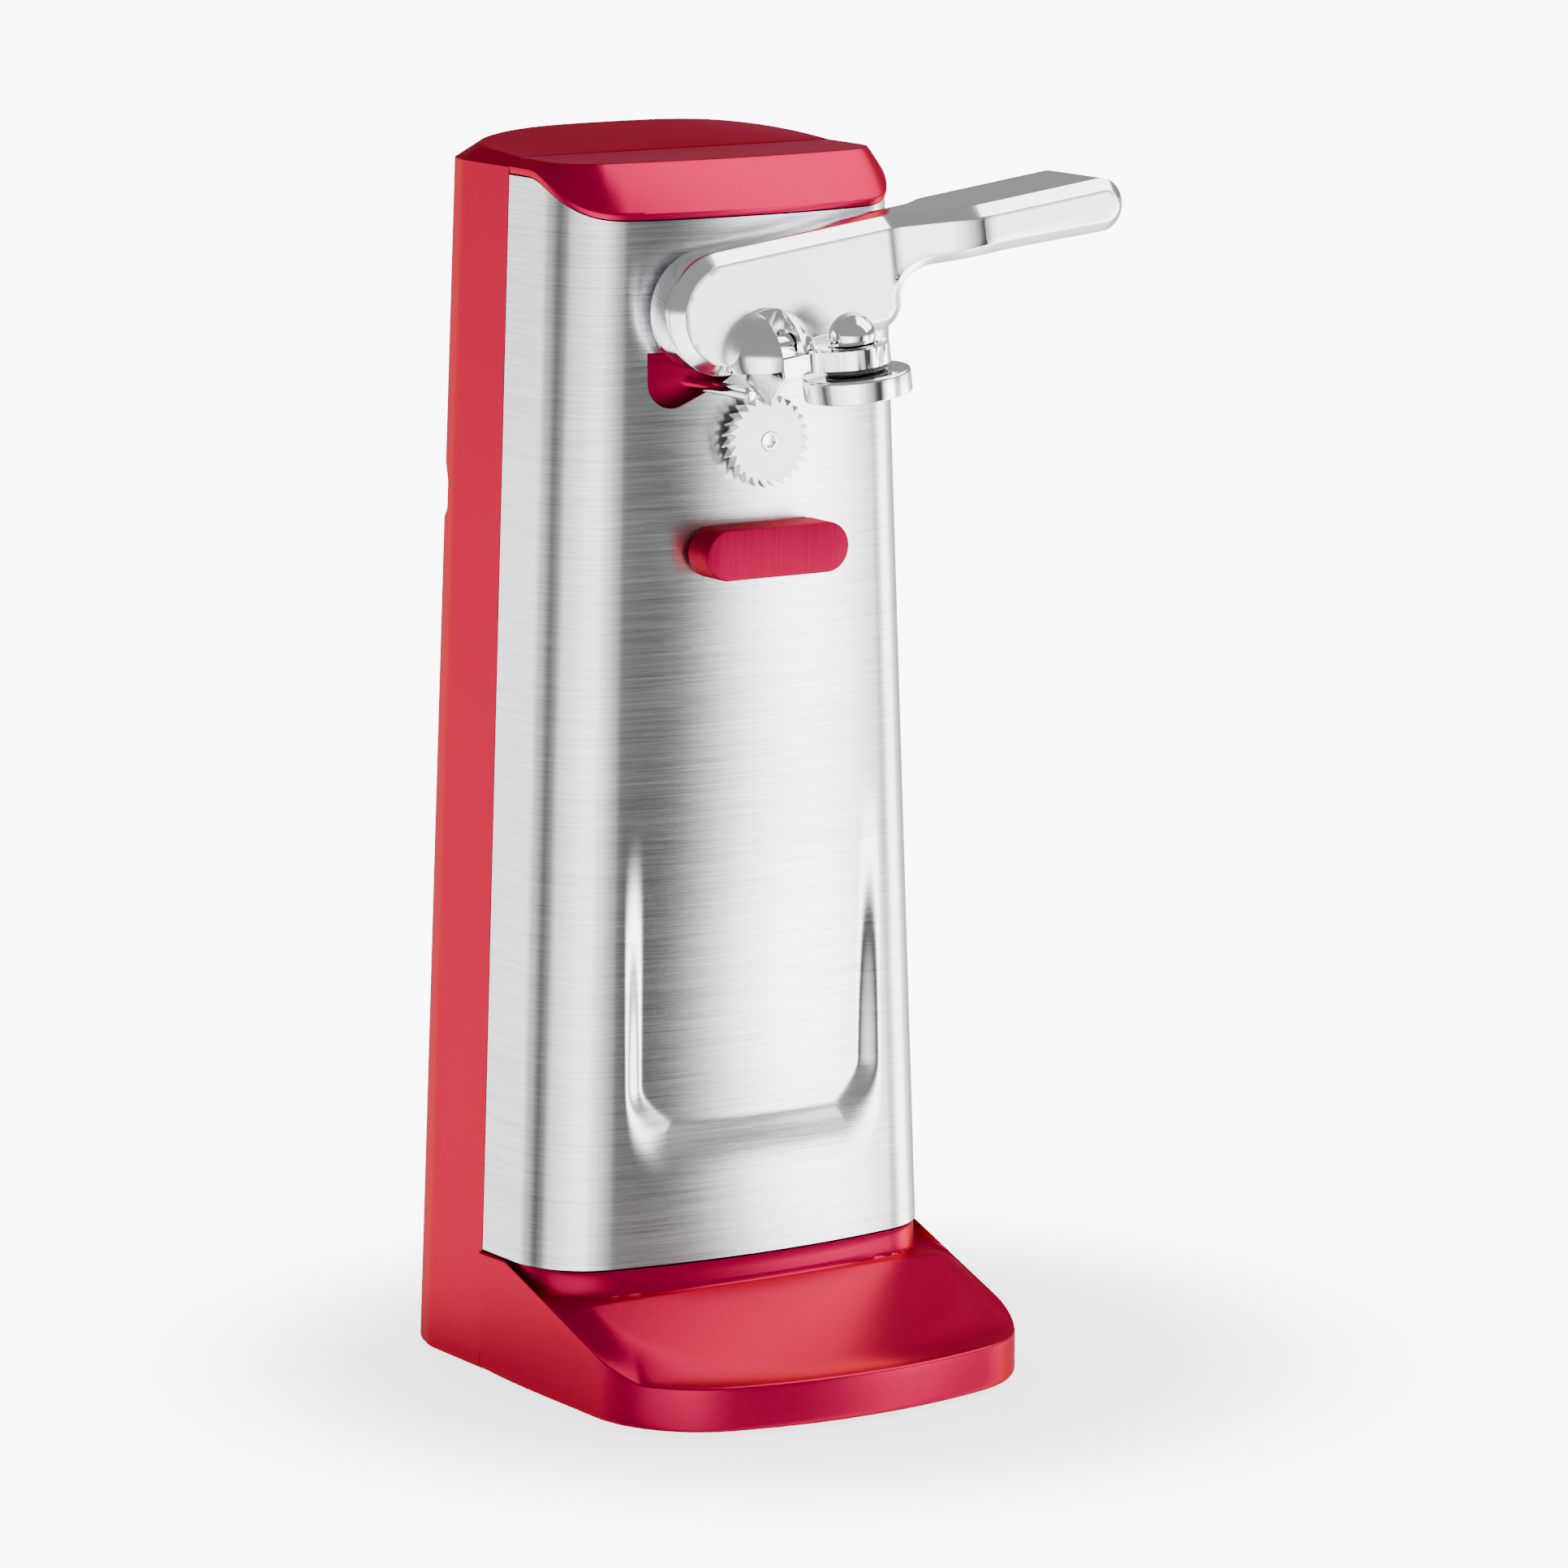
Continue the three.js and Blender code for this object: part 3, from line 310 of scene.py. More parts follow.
def filled(outline: Array, inner: Array | None = None) -> tuple[Array, Array]:
    """Triangles that fill a closed outline by constrained Delaunay triangulation.

    Args:
        outline: the outline's points, one per row.
        inner: further points inside it, if any.

    Returns:
        The points used and the triangles between them.
    """
    points = outline if inner is None else np.vstack([outline, inner])
    marks = [Vector(row) for row in points.tolist()]
    flat, _, faces, *_ = delaunay_2d_cdt(marks, [], [list(range(len(outline)))], 1, 1e-7)
    return np.array([list(v) for v in flat]), np.array(faces)


def prism(
    name: str, outline: Array, low: float, high: float, place: Callable[[Array, float], Array]
) -> Sheet:
    """A closed outline drawn out between two levels, with flat ends.

    Args:
        name: the piece's name.
        outline: the outline's points, one per row.
        low: the first level.
        high: the last level.
        place: puts outline points at a level into space.

    Returns:
        The closed sheet.
    """
    ends = [place(outline, low), place(outline, high)]
    sheet = Sheet(name).grid(np.stack(ends), wrap=True)
    spots, faces = filled(outline)
    for level in (low, high):
        sheet.facets(place(spots, level), faces)
    return sheet


def on_y(outline: Array, y: float) -> Array:
    """Outline points (x, z) at depth y."""
    return np.stack([outline[:, 0], np.full(len(outline), y), outline[:, 1]], axis=1)


def on_ring(outline: Array, z: Array) -> Array:
    """Outline points (x, y), each at its own height or all at one."""
    return np.column_stack([outline, np.broadcast_to(z, len(outline))])


def on_z(outline: Array, z: float) -> Array:
    """Outline points (x, y) at height z."""
    return np.stack([outline[:, 0], outline[:, 1], np.full(len(outline), z)], axis=1)


def disc(centre: Sequence[float], radius: float, count: int = 40) -> Array:
    """Points round a circle."""
    return arc(centre, radius, 0.0, 360.0 * (count - 1) / count, count)


def rectangle(low: float, high: float, foot: float, head: float) -> Array:
    """Corners of a rectangle, anticlockwise."""
    return np.array([[low, foot], [high, foot], [high, head], [low, head]], float)


def offset(outline: Array, inset: float) -> Array:
    """A closed outline moved inwards along its corner normals.

    Each point moves by inset / cos(half the corner's turn), so that straight stretches keep their
    distance. The outline runs anticlockwise.
    """
    onward = np.roll(outline, -1, axis=0) - outline
    onward /= np.maximum(np.linalg.norm(onward, axis=1, keepdims=True), 1e-9)
    back = np.roll(onward, 1, axis=0)
    normal = np.stack([-(onward + back)[:, 1], (onward + back)[:, 0]], axis=1)
    normal /= np.maximum(np.linalg.norm(normal, axis=1, keepdims=True), 1e-9)
    straight = np.stack([-onward[:, 1], onward[:, 0]], axis=1)
    lean = np.clip((normal * straight).sum(axis=1, keepdims=True), 0.5, 1.0)
    return outline + normal * inset / lean


# ---------------------------------------------------------------- finishes


class Grain(Enum):
    """Direction that a brushed or ground finish runs in."""

    ACROSS = (45.0, 45.0, 1900.0)
    UPRIGHT = (2600.0, 2600.0, 70.0)
    NONE = (900.0, 900.0, 900.0)


def socket_group(name: str, inputs: Sequence[tuple], outputs: Sequence[tuple]) -> bpy.types.NodeTree:
    """A shader node group with named sockets, each given as (name, socket type, default)."""
    tree = bpy.data.node_groups.new(name, "ShaderNodeTree")
    for label, kind, default in inputs:
        made = tree.interface.new_socket(name=label, in_out="INPUT", socket_type=kind)
        if default is not None:
            made.default_value = default
    for label, kind, _ in outputs:
        tree.interface.new_socket(name=label, in_out="OUTPUT", socket_type=kind)
    return tree


class Nodes:
    """Short ways to place and join nodes in one tree."""

    def __init__(self, tree: bpy.types.NodeTree) -> None:
        """Keeps the tree that the nodes go in."""
        self.tree = tree

    def add(self, kind: str, links: dict | None = None, **settings: object) -> bpy.types.Node:
        """Adds a node.

        Args:
            kind: the node's type name without its ShaderNode start.
            links: input names or numbers, with the value or the output socket for each.
            settings: the node's own properties.

        Returns:
            The node.
        """
        prefix = "" if kind.startswith("Node") else "ShaderNode"
        node = self.tree.nodes.new(prefix + kind)
        for key, value in settings.items():
            setattr(node, key, value)
        for key, value in (links or {}).items():
            target = node.inputs[key]
            if isinstance(value, bpy.types.NodeSocket):
                self.tree.links.new(value, target)
            else:
                target.default_value = value
        return node

    def value(self, operation: str, *inputs: object) -> bpy.types.NodeSocket:
        """A Math node's result."""
        return self.add("Math", dict(enumerate(inputs)), operation=operation).outputs[0]

    def ramp(self, mask: bpy.types.NodeSocket, low: float, high: float) -> bpy.types.NodeSocket:
        """A mask stretched so that low becomes 0 and high becomes 1."""
        links = {"Value": mask, "From Min": low, "From Max": high, "To Min": 0.0, "To Max": 1.0}
        return self.add("MapRange", links, clamp=True).outputs[0]

    def tint(self, factor: object, first: object, second: object) -> bpy.types.NodeSocket:
        """A blend of two colours."""
        node = self.add("Mix", {0: factor, 6: first, 7: second}, data_type="RGBA")
        return node.outputs[2]


def grain_group() -> bpy.types.NodeTree:
    """Fine streaks and soft patches: stretched noise for the streaks, plain noise for the patches."""
    tree = socket_group(
        "streak_grain",
        [("Stretch", "NodeSocketVector", (60, 60, 4000)), ("Patch Scale", "NodeSocketFloat", 40.0)],
        [("Streak", "NodeSocketFloat", None), ("Patch", "NodeSocketFloat", None)],
    )
    nodes = Nodes(tree)
    source = nodes.add("NodeGroupInput")
    place = nodes.add("TexCoord").outputs["Object"]
    scaled = nodes.add("VectorMath", {0: place, 1: source.outputs["Stretch"]}, operation="MULTIPLY")
    fine = nodes.add("TexNoise", {"Vector": scaled.outputs[0], "Scale": 1.0, "Detail": 4.0, "Roughness": 0.7})
    broad = nodes.add("TexNoise", {"Vector": place, "Scale": source.outputs["Patch Scale"], "Detail": 3.0})
    nodes.add("NodeGroupOutput", {"Streak": fine.outputs[0], "Patch": broad.outputs[0]})
    return tree


def wear_group() -> bpy.types.NodeTree:
    """Rubbed edges and faint specks: pointiness by noise for the edges, cut noise for the specks."""
    tree = socket_group(
        "edge_wear",
        [("Amount", "NodeSocketFloat", 0.3), ("Speck Scale", "NodeSocketFloat", 900.0)],
        [("Edge", "NodeSocketFloat", None), ("Speck", "NodeSocketFloat", None)],
    )
    nodes = Nodes(tree)
    source = nodes.add("NodeGroupInput")
    place = nodes.add("TexCoord").outputs["Object"]
    point = nodes.add("NewGeometry").outputs["Pointiness"]
    broken = nodes.add("TexNoise", {"Vector": place, "Scale": 220.0, "Detail": 4.0}).outputs[0]
    edge = nodes.value("MULTIPLY", nodes.ramp(point, 0.53, 0.62), nodes.ramp(broken, 0.35, 0.65))
    edge = nodes.value("MULTIPLY", edge, source.outputs["Amount"])
    dots = nodes.add("TexNoise", {"Vector": place, "Scale": source.outputs["Speck Scale"], "Detail": 2.0})
    nodes.add("NodeGroupOutput", {"Edge": edge, "Speck": nodes.ramp(dots.outputs[0], 0.66, 0.8)})
    return tree


GRAIN = grain_group()
WEAR = wear_group()


@dataclass(frozen=True)
class Finish:
    """One procedural finish: its colour, how far it varies, its gloss and its grain."""

    name: str
    colour: tuple[float, float, float]
    shade: tuple[float, float, float]
    roughness: float
    spread: float
    metallic: float = 0.0
    coat: float = 0.0
    coat_roughness: float = 0.05
    grain: Grain = Grain.NONE
    bump: float = 0.02
    wear: float = 0.2
    anisotropy: float = 0.0
    specular: float = 0.5
    patch: float = 40.0
    edge: tuple[float, float, float] = (1.0, 1.0, 1.0)

    def build(self) -> bpy.types.Material:
        """Builds the material: grain drives colour, roughness and bump, and wear lightens the edges."""
        material = bpy.data.materials.new(self.name)
        material.use_nodes = True
        tree = material.node_tree
        tree.nodes.clear()
        nodes = Nodes(tree)
        grain = nodes.add("Group", node_tree=GRAIN)
        grain.inputs["Stretch"].default_value = self.grain.value
        grain.inputs["Patch Scale"].default_value = self.patch
        wear = nodes.add("Group", node_tree=WEAR)
        wear.inputs["Amount"].default_value = self.wear
        streak, patch = grain.outputs["Streak"], grain.outputs["Patch"]
        both = nodes.value("ADD", nodes.value("MULTIPLY", streak, 0.6), nodes.value("MULTIPLY", patch, 0.4))
        base = nodes.tint(nodes.ramp(both, 0.35, 0.65), (*self.shade, 1.0), (*self.colour, 1.0))
        light = tuple(min(1.0, 0.25 + 0.9 * part) for part in self.colour)
        colour = nodes.tint(wear.outputs["Edge"], base, (*light, 1.0))
        low = self.roughness - self.spread / 2
        rough = nodes.value("ADD", low, nodes.value("MULTIPLY", both, self.spread))
        rough = nodes.value("ADD", rough, nodes.value("MULTIPLY", wear.outputs["Speck"], 0.04))
        bump = nodes.add("Bump", {"Strength": self.bump, "Distance": 0.0002, "Height": streak})
        links = {"Base Color": colour, "Roughness": rough, "Normal": bump.outputs[0]}
        shader = nodes.add("BsdfPrincipled", links)
        shader.inputs["Metallic"].default_value = self.metallic
        shader.inputs["Coat Weight"].default_value = self.coat
        shader.inputs["Coat Roughness"].default_value = self.coat_roughness
        shader.inputs["Specular IOR Level"].default_value = self.specular
        shader.inputs["Specular Tint"].default_value = (*self.edge, 1.0)
        shader.inputs["Anisotropic"].default_value = self.anisotropy
        if self.anisotropy:
            shader.inputs["Anisotropic Rotation"].default_value = 0.25
            around = nodes.add("Tangent", direction_type="RADIAL", axis="Z")
            tree.links.new(around.outputs[0], shader.inputs["Tangent"])
        output = nodes.add("OutputMaterial")
        tree.links.new(shader.outputs[0], output.inputs[0])
        return material


RED_MOULDING = Finish(
    "red_moulding", (0.38, 0.0016, 0.046), (0.355, 0.0013, 0.042), 0.30, 0.05, metallic=0.72, bump=0.015,
    wear=0.02, specular=0.05, patch=25.0, edge=(1.0, 0.05, 0.25),
)
# The can rest's red: a darker copy of the red moulding's colour. The lower base colour is painted shade,
# standing in for the bar looking darker under the light; its satin roughness and upright grain are its own.
SHADED_SATIN_RED = Finish(
    "satin_red_bar_painted_shade", (0.27, 0.0014, 0.034), (0.19, 0.0009, 0.023), 0.42, 0.12, metallic=0.75,
    grain=Grain.UPRIGHT, bump=0.10, wear=0.02, specular=0.1, edge=(1.0, 0.05, 0.25),
)
BRUSHED_STEEL = Finish(
    "brushed_steel_front", (0.90, 0.91, 0.92), (0.52, 0.53, 0.545), 0.21, 0.12, metallic=1.0,
    grain=Grain.ACROSS, bump=0.14, wear=0.05, anisotropy=0.85, patch=12.0,
)
SATIN_CASTING = Finish(
    "satin_casting", (0.83, 0.84, 0.85), (0.79, 0.80, 0.81), 0.30, 0.06, metallic=1.0, bump=0.015,
    wear=0.25, patch=60.0,
)
POLISHED_CASTING = Finish(
    "polished_casting", (0.86, 0.87, 0.88), (0.83, 0.84, 0.85), 0.12, 0.04, metallic=1.0, bump=0.008,
    wear=0.2, patch=60.0,
)
CHROME = Finish(
    "bright_chrome", (0.88, 0.89, 0.90), (0.85, 0.86, 0.87), 0.07, 0.03, metallic=1.0, bump=0.005,
    wear=0.1, patch=90.0,
)
GROUND_STEEL = Finish(
    "ground_steel", (0.78, 0.79, 0.80), (0.68, 0.69, 0.70), 0.26, 0.12, metallic=1.0,
    grain=Grain.UPRIGHT, bump=0.05, wear=0.3,
)
HARD_STEEL = Finish(
    "hardened_wheel_steel", (0.80, 0.81, 0.82), (0.74, 0.75, 0.76), 0.30, 0.08, metallic=1.0,
    bump=0.03, wear=0.4, patch=200.0,
)
SCREW_STEEL = Finish(
    "zinc_screw", (0.60, 0.61, 0.62), (0.48, 0.49, 0.50), 0.3, 0.15, metallic=1.0, bump=0.03, patch=300.0,
)
BLACK_RUBBER = Finish(
    "black_rubber", (0.030, 0.030, 0.032), (0.018, 0.018, 0.020), 0.75, 0.2, bump=0.25, wear=0.5,
    patch=180.0, specular=0.3,
)
DARK_MOULDING = Finish(
    "dark_moulding", (0.045, 0.046, 0.050), (0.032, 0.033, 0.036), 0.5, 0.15, bump=0.2, wear=0.4,
    patch=90.0,
)
NYLON = Finish(
    "nylon_gear", (0.78, 0.75, 0.66), (0.70, 0.67, 0.58), 0.45, 0.15, bump=0.05, wear=0.2, patch=120.0,
)
BRASS = Finish(
    "turned_brass", (0.72, 0.53, 0.24), (0.62, 0.44, 0.18), 0.28, 0.15, metallic=1.0, bump=0.04,
    patch=150.0,
)
COPPER_WIRE = Finish(
    "copper_winding", (0.62, 0.26, 0.12), (0.34, 0.12, 0.05), 0.3, 0.1, metallic=0.9,
    grain=Grain.ACROSS, bump=0.5, wear=0.2,
)
LAMINATIONS = Finish(
    "steel_laminations", (0.36, 0.37, 0.39), (0.24, 0.25, 0.26), 0.5, 0.2, metallic=0.9,
    grain=Grain.NONE, bump=0.2, wear=0.4, patch=100.0,
)
GRINDSTONE = Finish(
    "grinding_stone", (0.40, 0.37, 0.35), (0.24, 0.22, 0.21), 0.95, 0.1, bump=0.8, wear=0.1, patch=400.0,
)


def dress(piece: bpy.types.Object, *materials: bpy.types.Material) -> None:
    """Gives a piece its materials."""
    piece.data.materials.clear()
    for material in materials:
        piece.data.materials.append(material)


def place_piece(piece: bpy.types.Object, body: str, slot: str, *nodes: str) -> None:
    """Rides a piece on its body, hides the CAD nodes it stands for, and reports it."""
    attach(piece, body)
    if nodes:
        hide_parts(*nodes)
    LOG.info("%s: %d faces on %s", piece.name, len(piece.data.polygons), body)


def add_piece(
    piece: bpy.types.Object, material: bpy.types.Material, body: str, slot: str, *nodes: str
) -> None:
    """Gives a piece one material and places it."""
    dress(piece, material)
    place_piece(piece, body, slot, *nodes)


# ---------------------------------------------------------------- housing shape


@dataclass
class HousingForm:
    """Taper, outlines and edges that the housing's skins share, in millimetres."""

    side_foot: float = 48.4
    side_head: float = 39.4
    rear_foot: float = 33.2
    rear_head: float = 29.2
    front_foot: float = 33.2
    front_head: float = 30.7
    bow: float = 191.7
    corner: float = 17.2
    shoulder: float = 248.8
    top: float = 250.7
    crown: float = 3.7
    lip_front: float = 239.6
    lip_side: float = 247.4
    seam: float = 0.15
    edge_side: float = 37.2
    edge_rear: float = 26.9
    edge_front: float = 23.8

    def side(self, z: Array) -> Array:
        """Half width at height z: a straight taper."""
        return mix(self.side_foot, self.side_head, z / self.shoulder)

    def rear(self, z: Array) -> Array:
        """Depth behind the seam at height z."""
        return mix(self.rear_foot, self.rear_head, z / self.shoulder)

    def front(self, z: Array) -> Array:
        """Depth of the steel front before the seam at height z."""
        return mix(self.front_foot, self.front_head, z / self.shoulder)

    def lip(self, y: Array) -> Array:
        """Lower edge of the cap: level across the front, then an eased sweep up to the seam."""
        return mix(self.lip_front, self.lip_side, self.sweep(y))

    @staticmethod
    def sweep(y: Array) -> Array:
        """Eased share of the cap's sweep at depth y: 0 across the front, 1 near the seam."""
        return smooth((y + 29.0) / 20.9)

    def front_outline(self, count: int) -> Array:
        """The steel front's outline at the foot."""
        return self.bowed(self.side_foot, self.front_foot, self.bow, self.corner, count)

    def at_lip(self, foot: Array) -> Array:
        """That outline carried up to the cap's lower edge."""
        return self.skin(foot, np.full((1, len(foot)), self.lip_front), self.front)[0]

    def bowed(self, half: float, front: float, bow: float, corner: float, count: int) -> Array:
        """The front outline from the left seam to the right one.

        Straight sides meet a wide front arc of radius bow through corner arcs. The corner's centre
        lies where a circle of bow - corner about the front's centre crosses half - corner.
        """
        centre = bow - front
        across = half - corner
        high = centre - math.sqrt((bow - corner) ** 2 - across ** 2)
        turn = math.degrees(math.atan2(high - centre, across))
        line = np.vstack([
            [[-half, -self.seam]],
            arc((-across, high), corner, -180.0, -180.0 - turn, 40),
            arc((0.0, centre), bow, -180.0 - turn, turn, 80),
            arc((across, high), corner, turn, 0.0, 40),
            [[half, -self.seam]],
        ])
        return resample(line, count)

    def squared(self, half: float, rear: float, count: int) -> Array:
        """The rear outline from the right seam to the left one, with a narrow facet at each corner."""
        facet, turn = 2.3, 3.6
        corners = [
            [half, self.seam], [half, rear - 11.5], [half - facet, rear - turn],
            [half - facet - 4.2, rear], [0, rear],
        ]
        right = rounded_profile(corners, [0, 1.2, 2.6, 2.2, 0], 7)
        left = right[::-1] * np.array([-1.0, 1.0])
        return resample(np.vstack([right, left[1:]]), count)

    def skin(self, outline: Array, heights: Array, depth: Callable[[Array], Array]) -> Array:
        """An outline carried up the taper.

        Args:
            outline: the outline at the foot.
            heights: the height of each point, of shape (rows, columns).
            depth: the depth at a height, such as rear or front.

        Returns:
            Points of shape (rows, columns, 3): x and y shrink with the taper.
        """
        x = outline[None, :, 0] * self.side(heights) / self.side_foot
        y = outline[None, :, 1] * depth(heights) / depth(np.zeros(1))
        return np.stack([x, y, heights], axis=-1)


FORM = HousingForm()
HOUSING_SCREWS = ((-31, 60), (31, 60), (-29, 232), (29, 232))
CORD_INLET = (24.0, 14.0)
SPINDLE_AT = (-13.8, 221.4)
WHEEL_AT = (0.0, 194.3)
PIN_AT = (-13.0, 206.1)


@dataclass
class RearHousing:
    """The red rear moulding: tapered walls, the knife channel and the crowned half of the top."""

    columns: int = 240
    channel_low: float = 171.6
    channel_high: float = 191.0
    channel_depth: float = 6.3
    wall: float = 2.2
    brow_power: float = 4.4
    screw_hole: float = 3.4

    def channel(self, z: Array) -> Array:
        """Depth of the knife channel at height z: a quick rise, a short floor and a long fall."""
        rise = smooth((z - self.channel_low) / 5.4)
        fall = smooth((self.channel_high - z) / 9.5)
        return self.channel_depth * np.minimum(rise, fall)

    def build(self, finish: bpy.types.Material) -> None:
        """Builds the walls, the chamfer and the top as one skin, then gives it its wall."""
        outline = FORM.squared(FORM.side_foot, FORM.rear_foot, self.columns)
        foot = np.array([0.0, 0.35, 0.9, 1.6])
        plain = np.linspace(4.0, self.channel_low - 1.2, 26)
        channel = np.linspace(self.channel_low - 0.4, self.channel_high + 0.6, 60)
        upper = np.linspace(self.channel_high + 3.0, FORM.shoulder, 14)
        heights = np.concatenate([foot, plain, channel, upper])
        skin = FORM.skin(outline, np.repeat(heights[:, None], self.columns, axis=1), FORM.rear)
        tuck = np.array([0.9, 0.35, 0.1, 0.0])
        inset = np.concatenate([tuck, np.zeros(len(heights) - len(tuck))])[:, None]
        skin[..., 0] -= np.sign(skin[..., 0]) * inset * np.clip(np.abs(skin[..., 0]) / 40.0, 0, 1)
        limit = FORM.rear(heights)[:, None] - self.channel(heights)[:, None] - inset
        skin[..., 1] = self.soft_limit(skin[..., 1], limit)
        head = skin[-1]
        brow = self.brow(head)
        chamfer = []
        for t in (0.12, 0.5, 0.86, 0.96):
            ring = mix(head[:, :2], brow, t)
            chamfer.append(np.column_stack([ring, mix(FORM.shoulder, self.roof(brow), t)]))
        top = []
        for t in (0.992, 0.98, 0.95, 0.9, 0.8, 0.66, 0.5, 0.34, 0.18, 0.04):
            ring = np.column_stack([brow[:, 0] * t, FORM.seam + (brow[:, 1] - FORM.seam) * t])
            top.append(np.column_stack([ring, self.roof(ring)]))
        sheet = Sheet("rear_shell").grid(np.concatenate([skin, np.stack(chamfer + top)]))
        last = top[-1]
        sheet.fan(last, np.array([0.0, FORM.seam, FORM.top]))
        sheet.triangles[-1] = sheet.triangles[-1][:-1]
        shell = thicken(sheet.make(outward=False), self.wall)
        guide = rectangle(-13.9, 13.9, 176.5, 183.5)
        cutters = [prism("guide_hole", guide, 15, 40, on_y).make()]
        for place in HOUSING_SCREWS:
            cutters.append(prism("screw_hole", disc(place, self.screw_hole, 36), 12, 50, on_y).make())
        cutters.append(prism("inlet_hole", disc(CORD_INLET, 5.3, 40), 20, 50, on_y).make())
        add_piece(carve(shell, cutters), finish, "body", "red_plastic", "rear_housing")
        self.wells(finish)

    def brow(self, head: Array) -> Array:
        """Edge of the top: the superellipse |x/a|^n + |y/b|^n = 1, read at each point's angle."""
        power = self.brow_power
        across = head[:, 0] / FORM.side_head
        back = (head[:, 1] - FORM.seam) / FORM.rear_head
        reach = (np.abs(across) ** power + np.abs(back) ** power) ** (1.0 / power)
        return np.stack(
            [FORM.edge_side * across / reach, FORM.seam + FORM.edge_rear * back / reach], axis=1
        )

    @staticmethod
    def soft_limit(depth: Array, limit: Array) -> Array:
        """The smaller of two depths, with a rounded change of 0.8 mm between them."""
        soft = 0.8
        gap = np.clip((limit - depth) / soft, -1.0, 1.0)
        least = np.minimum(depth, limit)
        rounded = least - soft * (1 - np.abs(gap)) ** 2 / 4
        return np.where(np.abs(limit - depth) < soft, rounded, least)

    @staticmethod
    def roof(ring: Array) -> Array:
        """Height of the top at (x, y): level at the seam and crowned towards the rear."""
        across = 1.0 - np.abs(ring[:, 0] / 46.0) ** 2.8
        back = np.maximum(ring[:, 1], 0.0) / FORM.rear_head
        return FORM.top + FORM.crown * back ** 0.8 * across

    def wells(self, finish: bpy.types.Material) -> None:
        """Tubular screw wells behind the holes in the back."""
        bore, outside, shank, seat, front = self.screw_hole, 4.6, 1.6, 12.0, 0.6
        for number, (x, z) in enumerate(HOUSING_SCREWS, start=1):
            back = float(FORM.rear(z)) - 2.0
            corners = [
                [bore, back], [bore, seat], [shank, seat], [shank, front], [outside, front],
                [outside, back], [bore, back],
            ]
            profile = rounded_profile(corners, [0, 0.3, 0.2, 0.2, 0.3, 0.3, 0], 4)
            well = lathe(f"screw_well_{number}", profile, (x, 0, z), (0, 1, 0), 40).make()
            add_piece(well, finish, "body", "red_plastic")


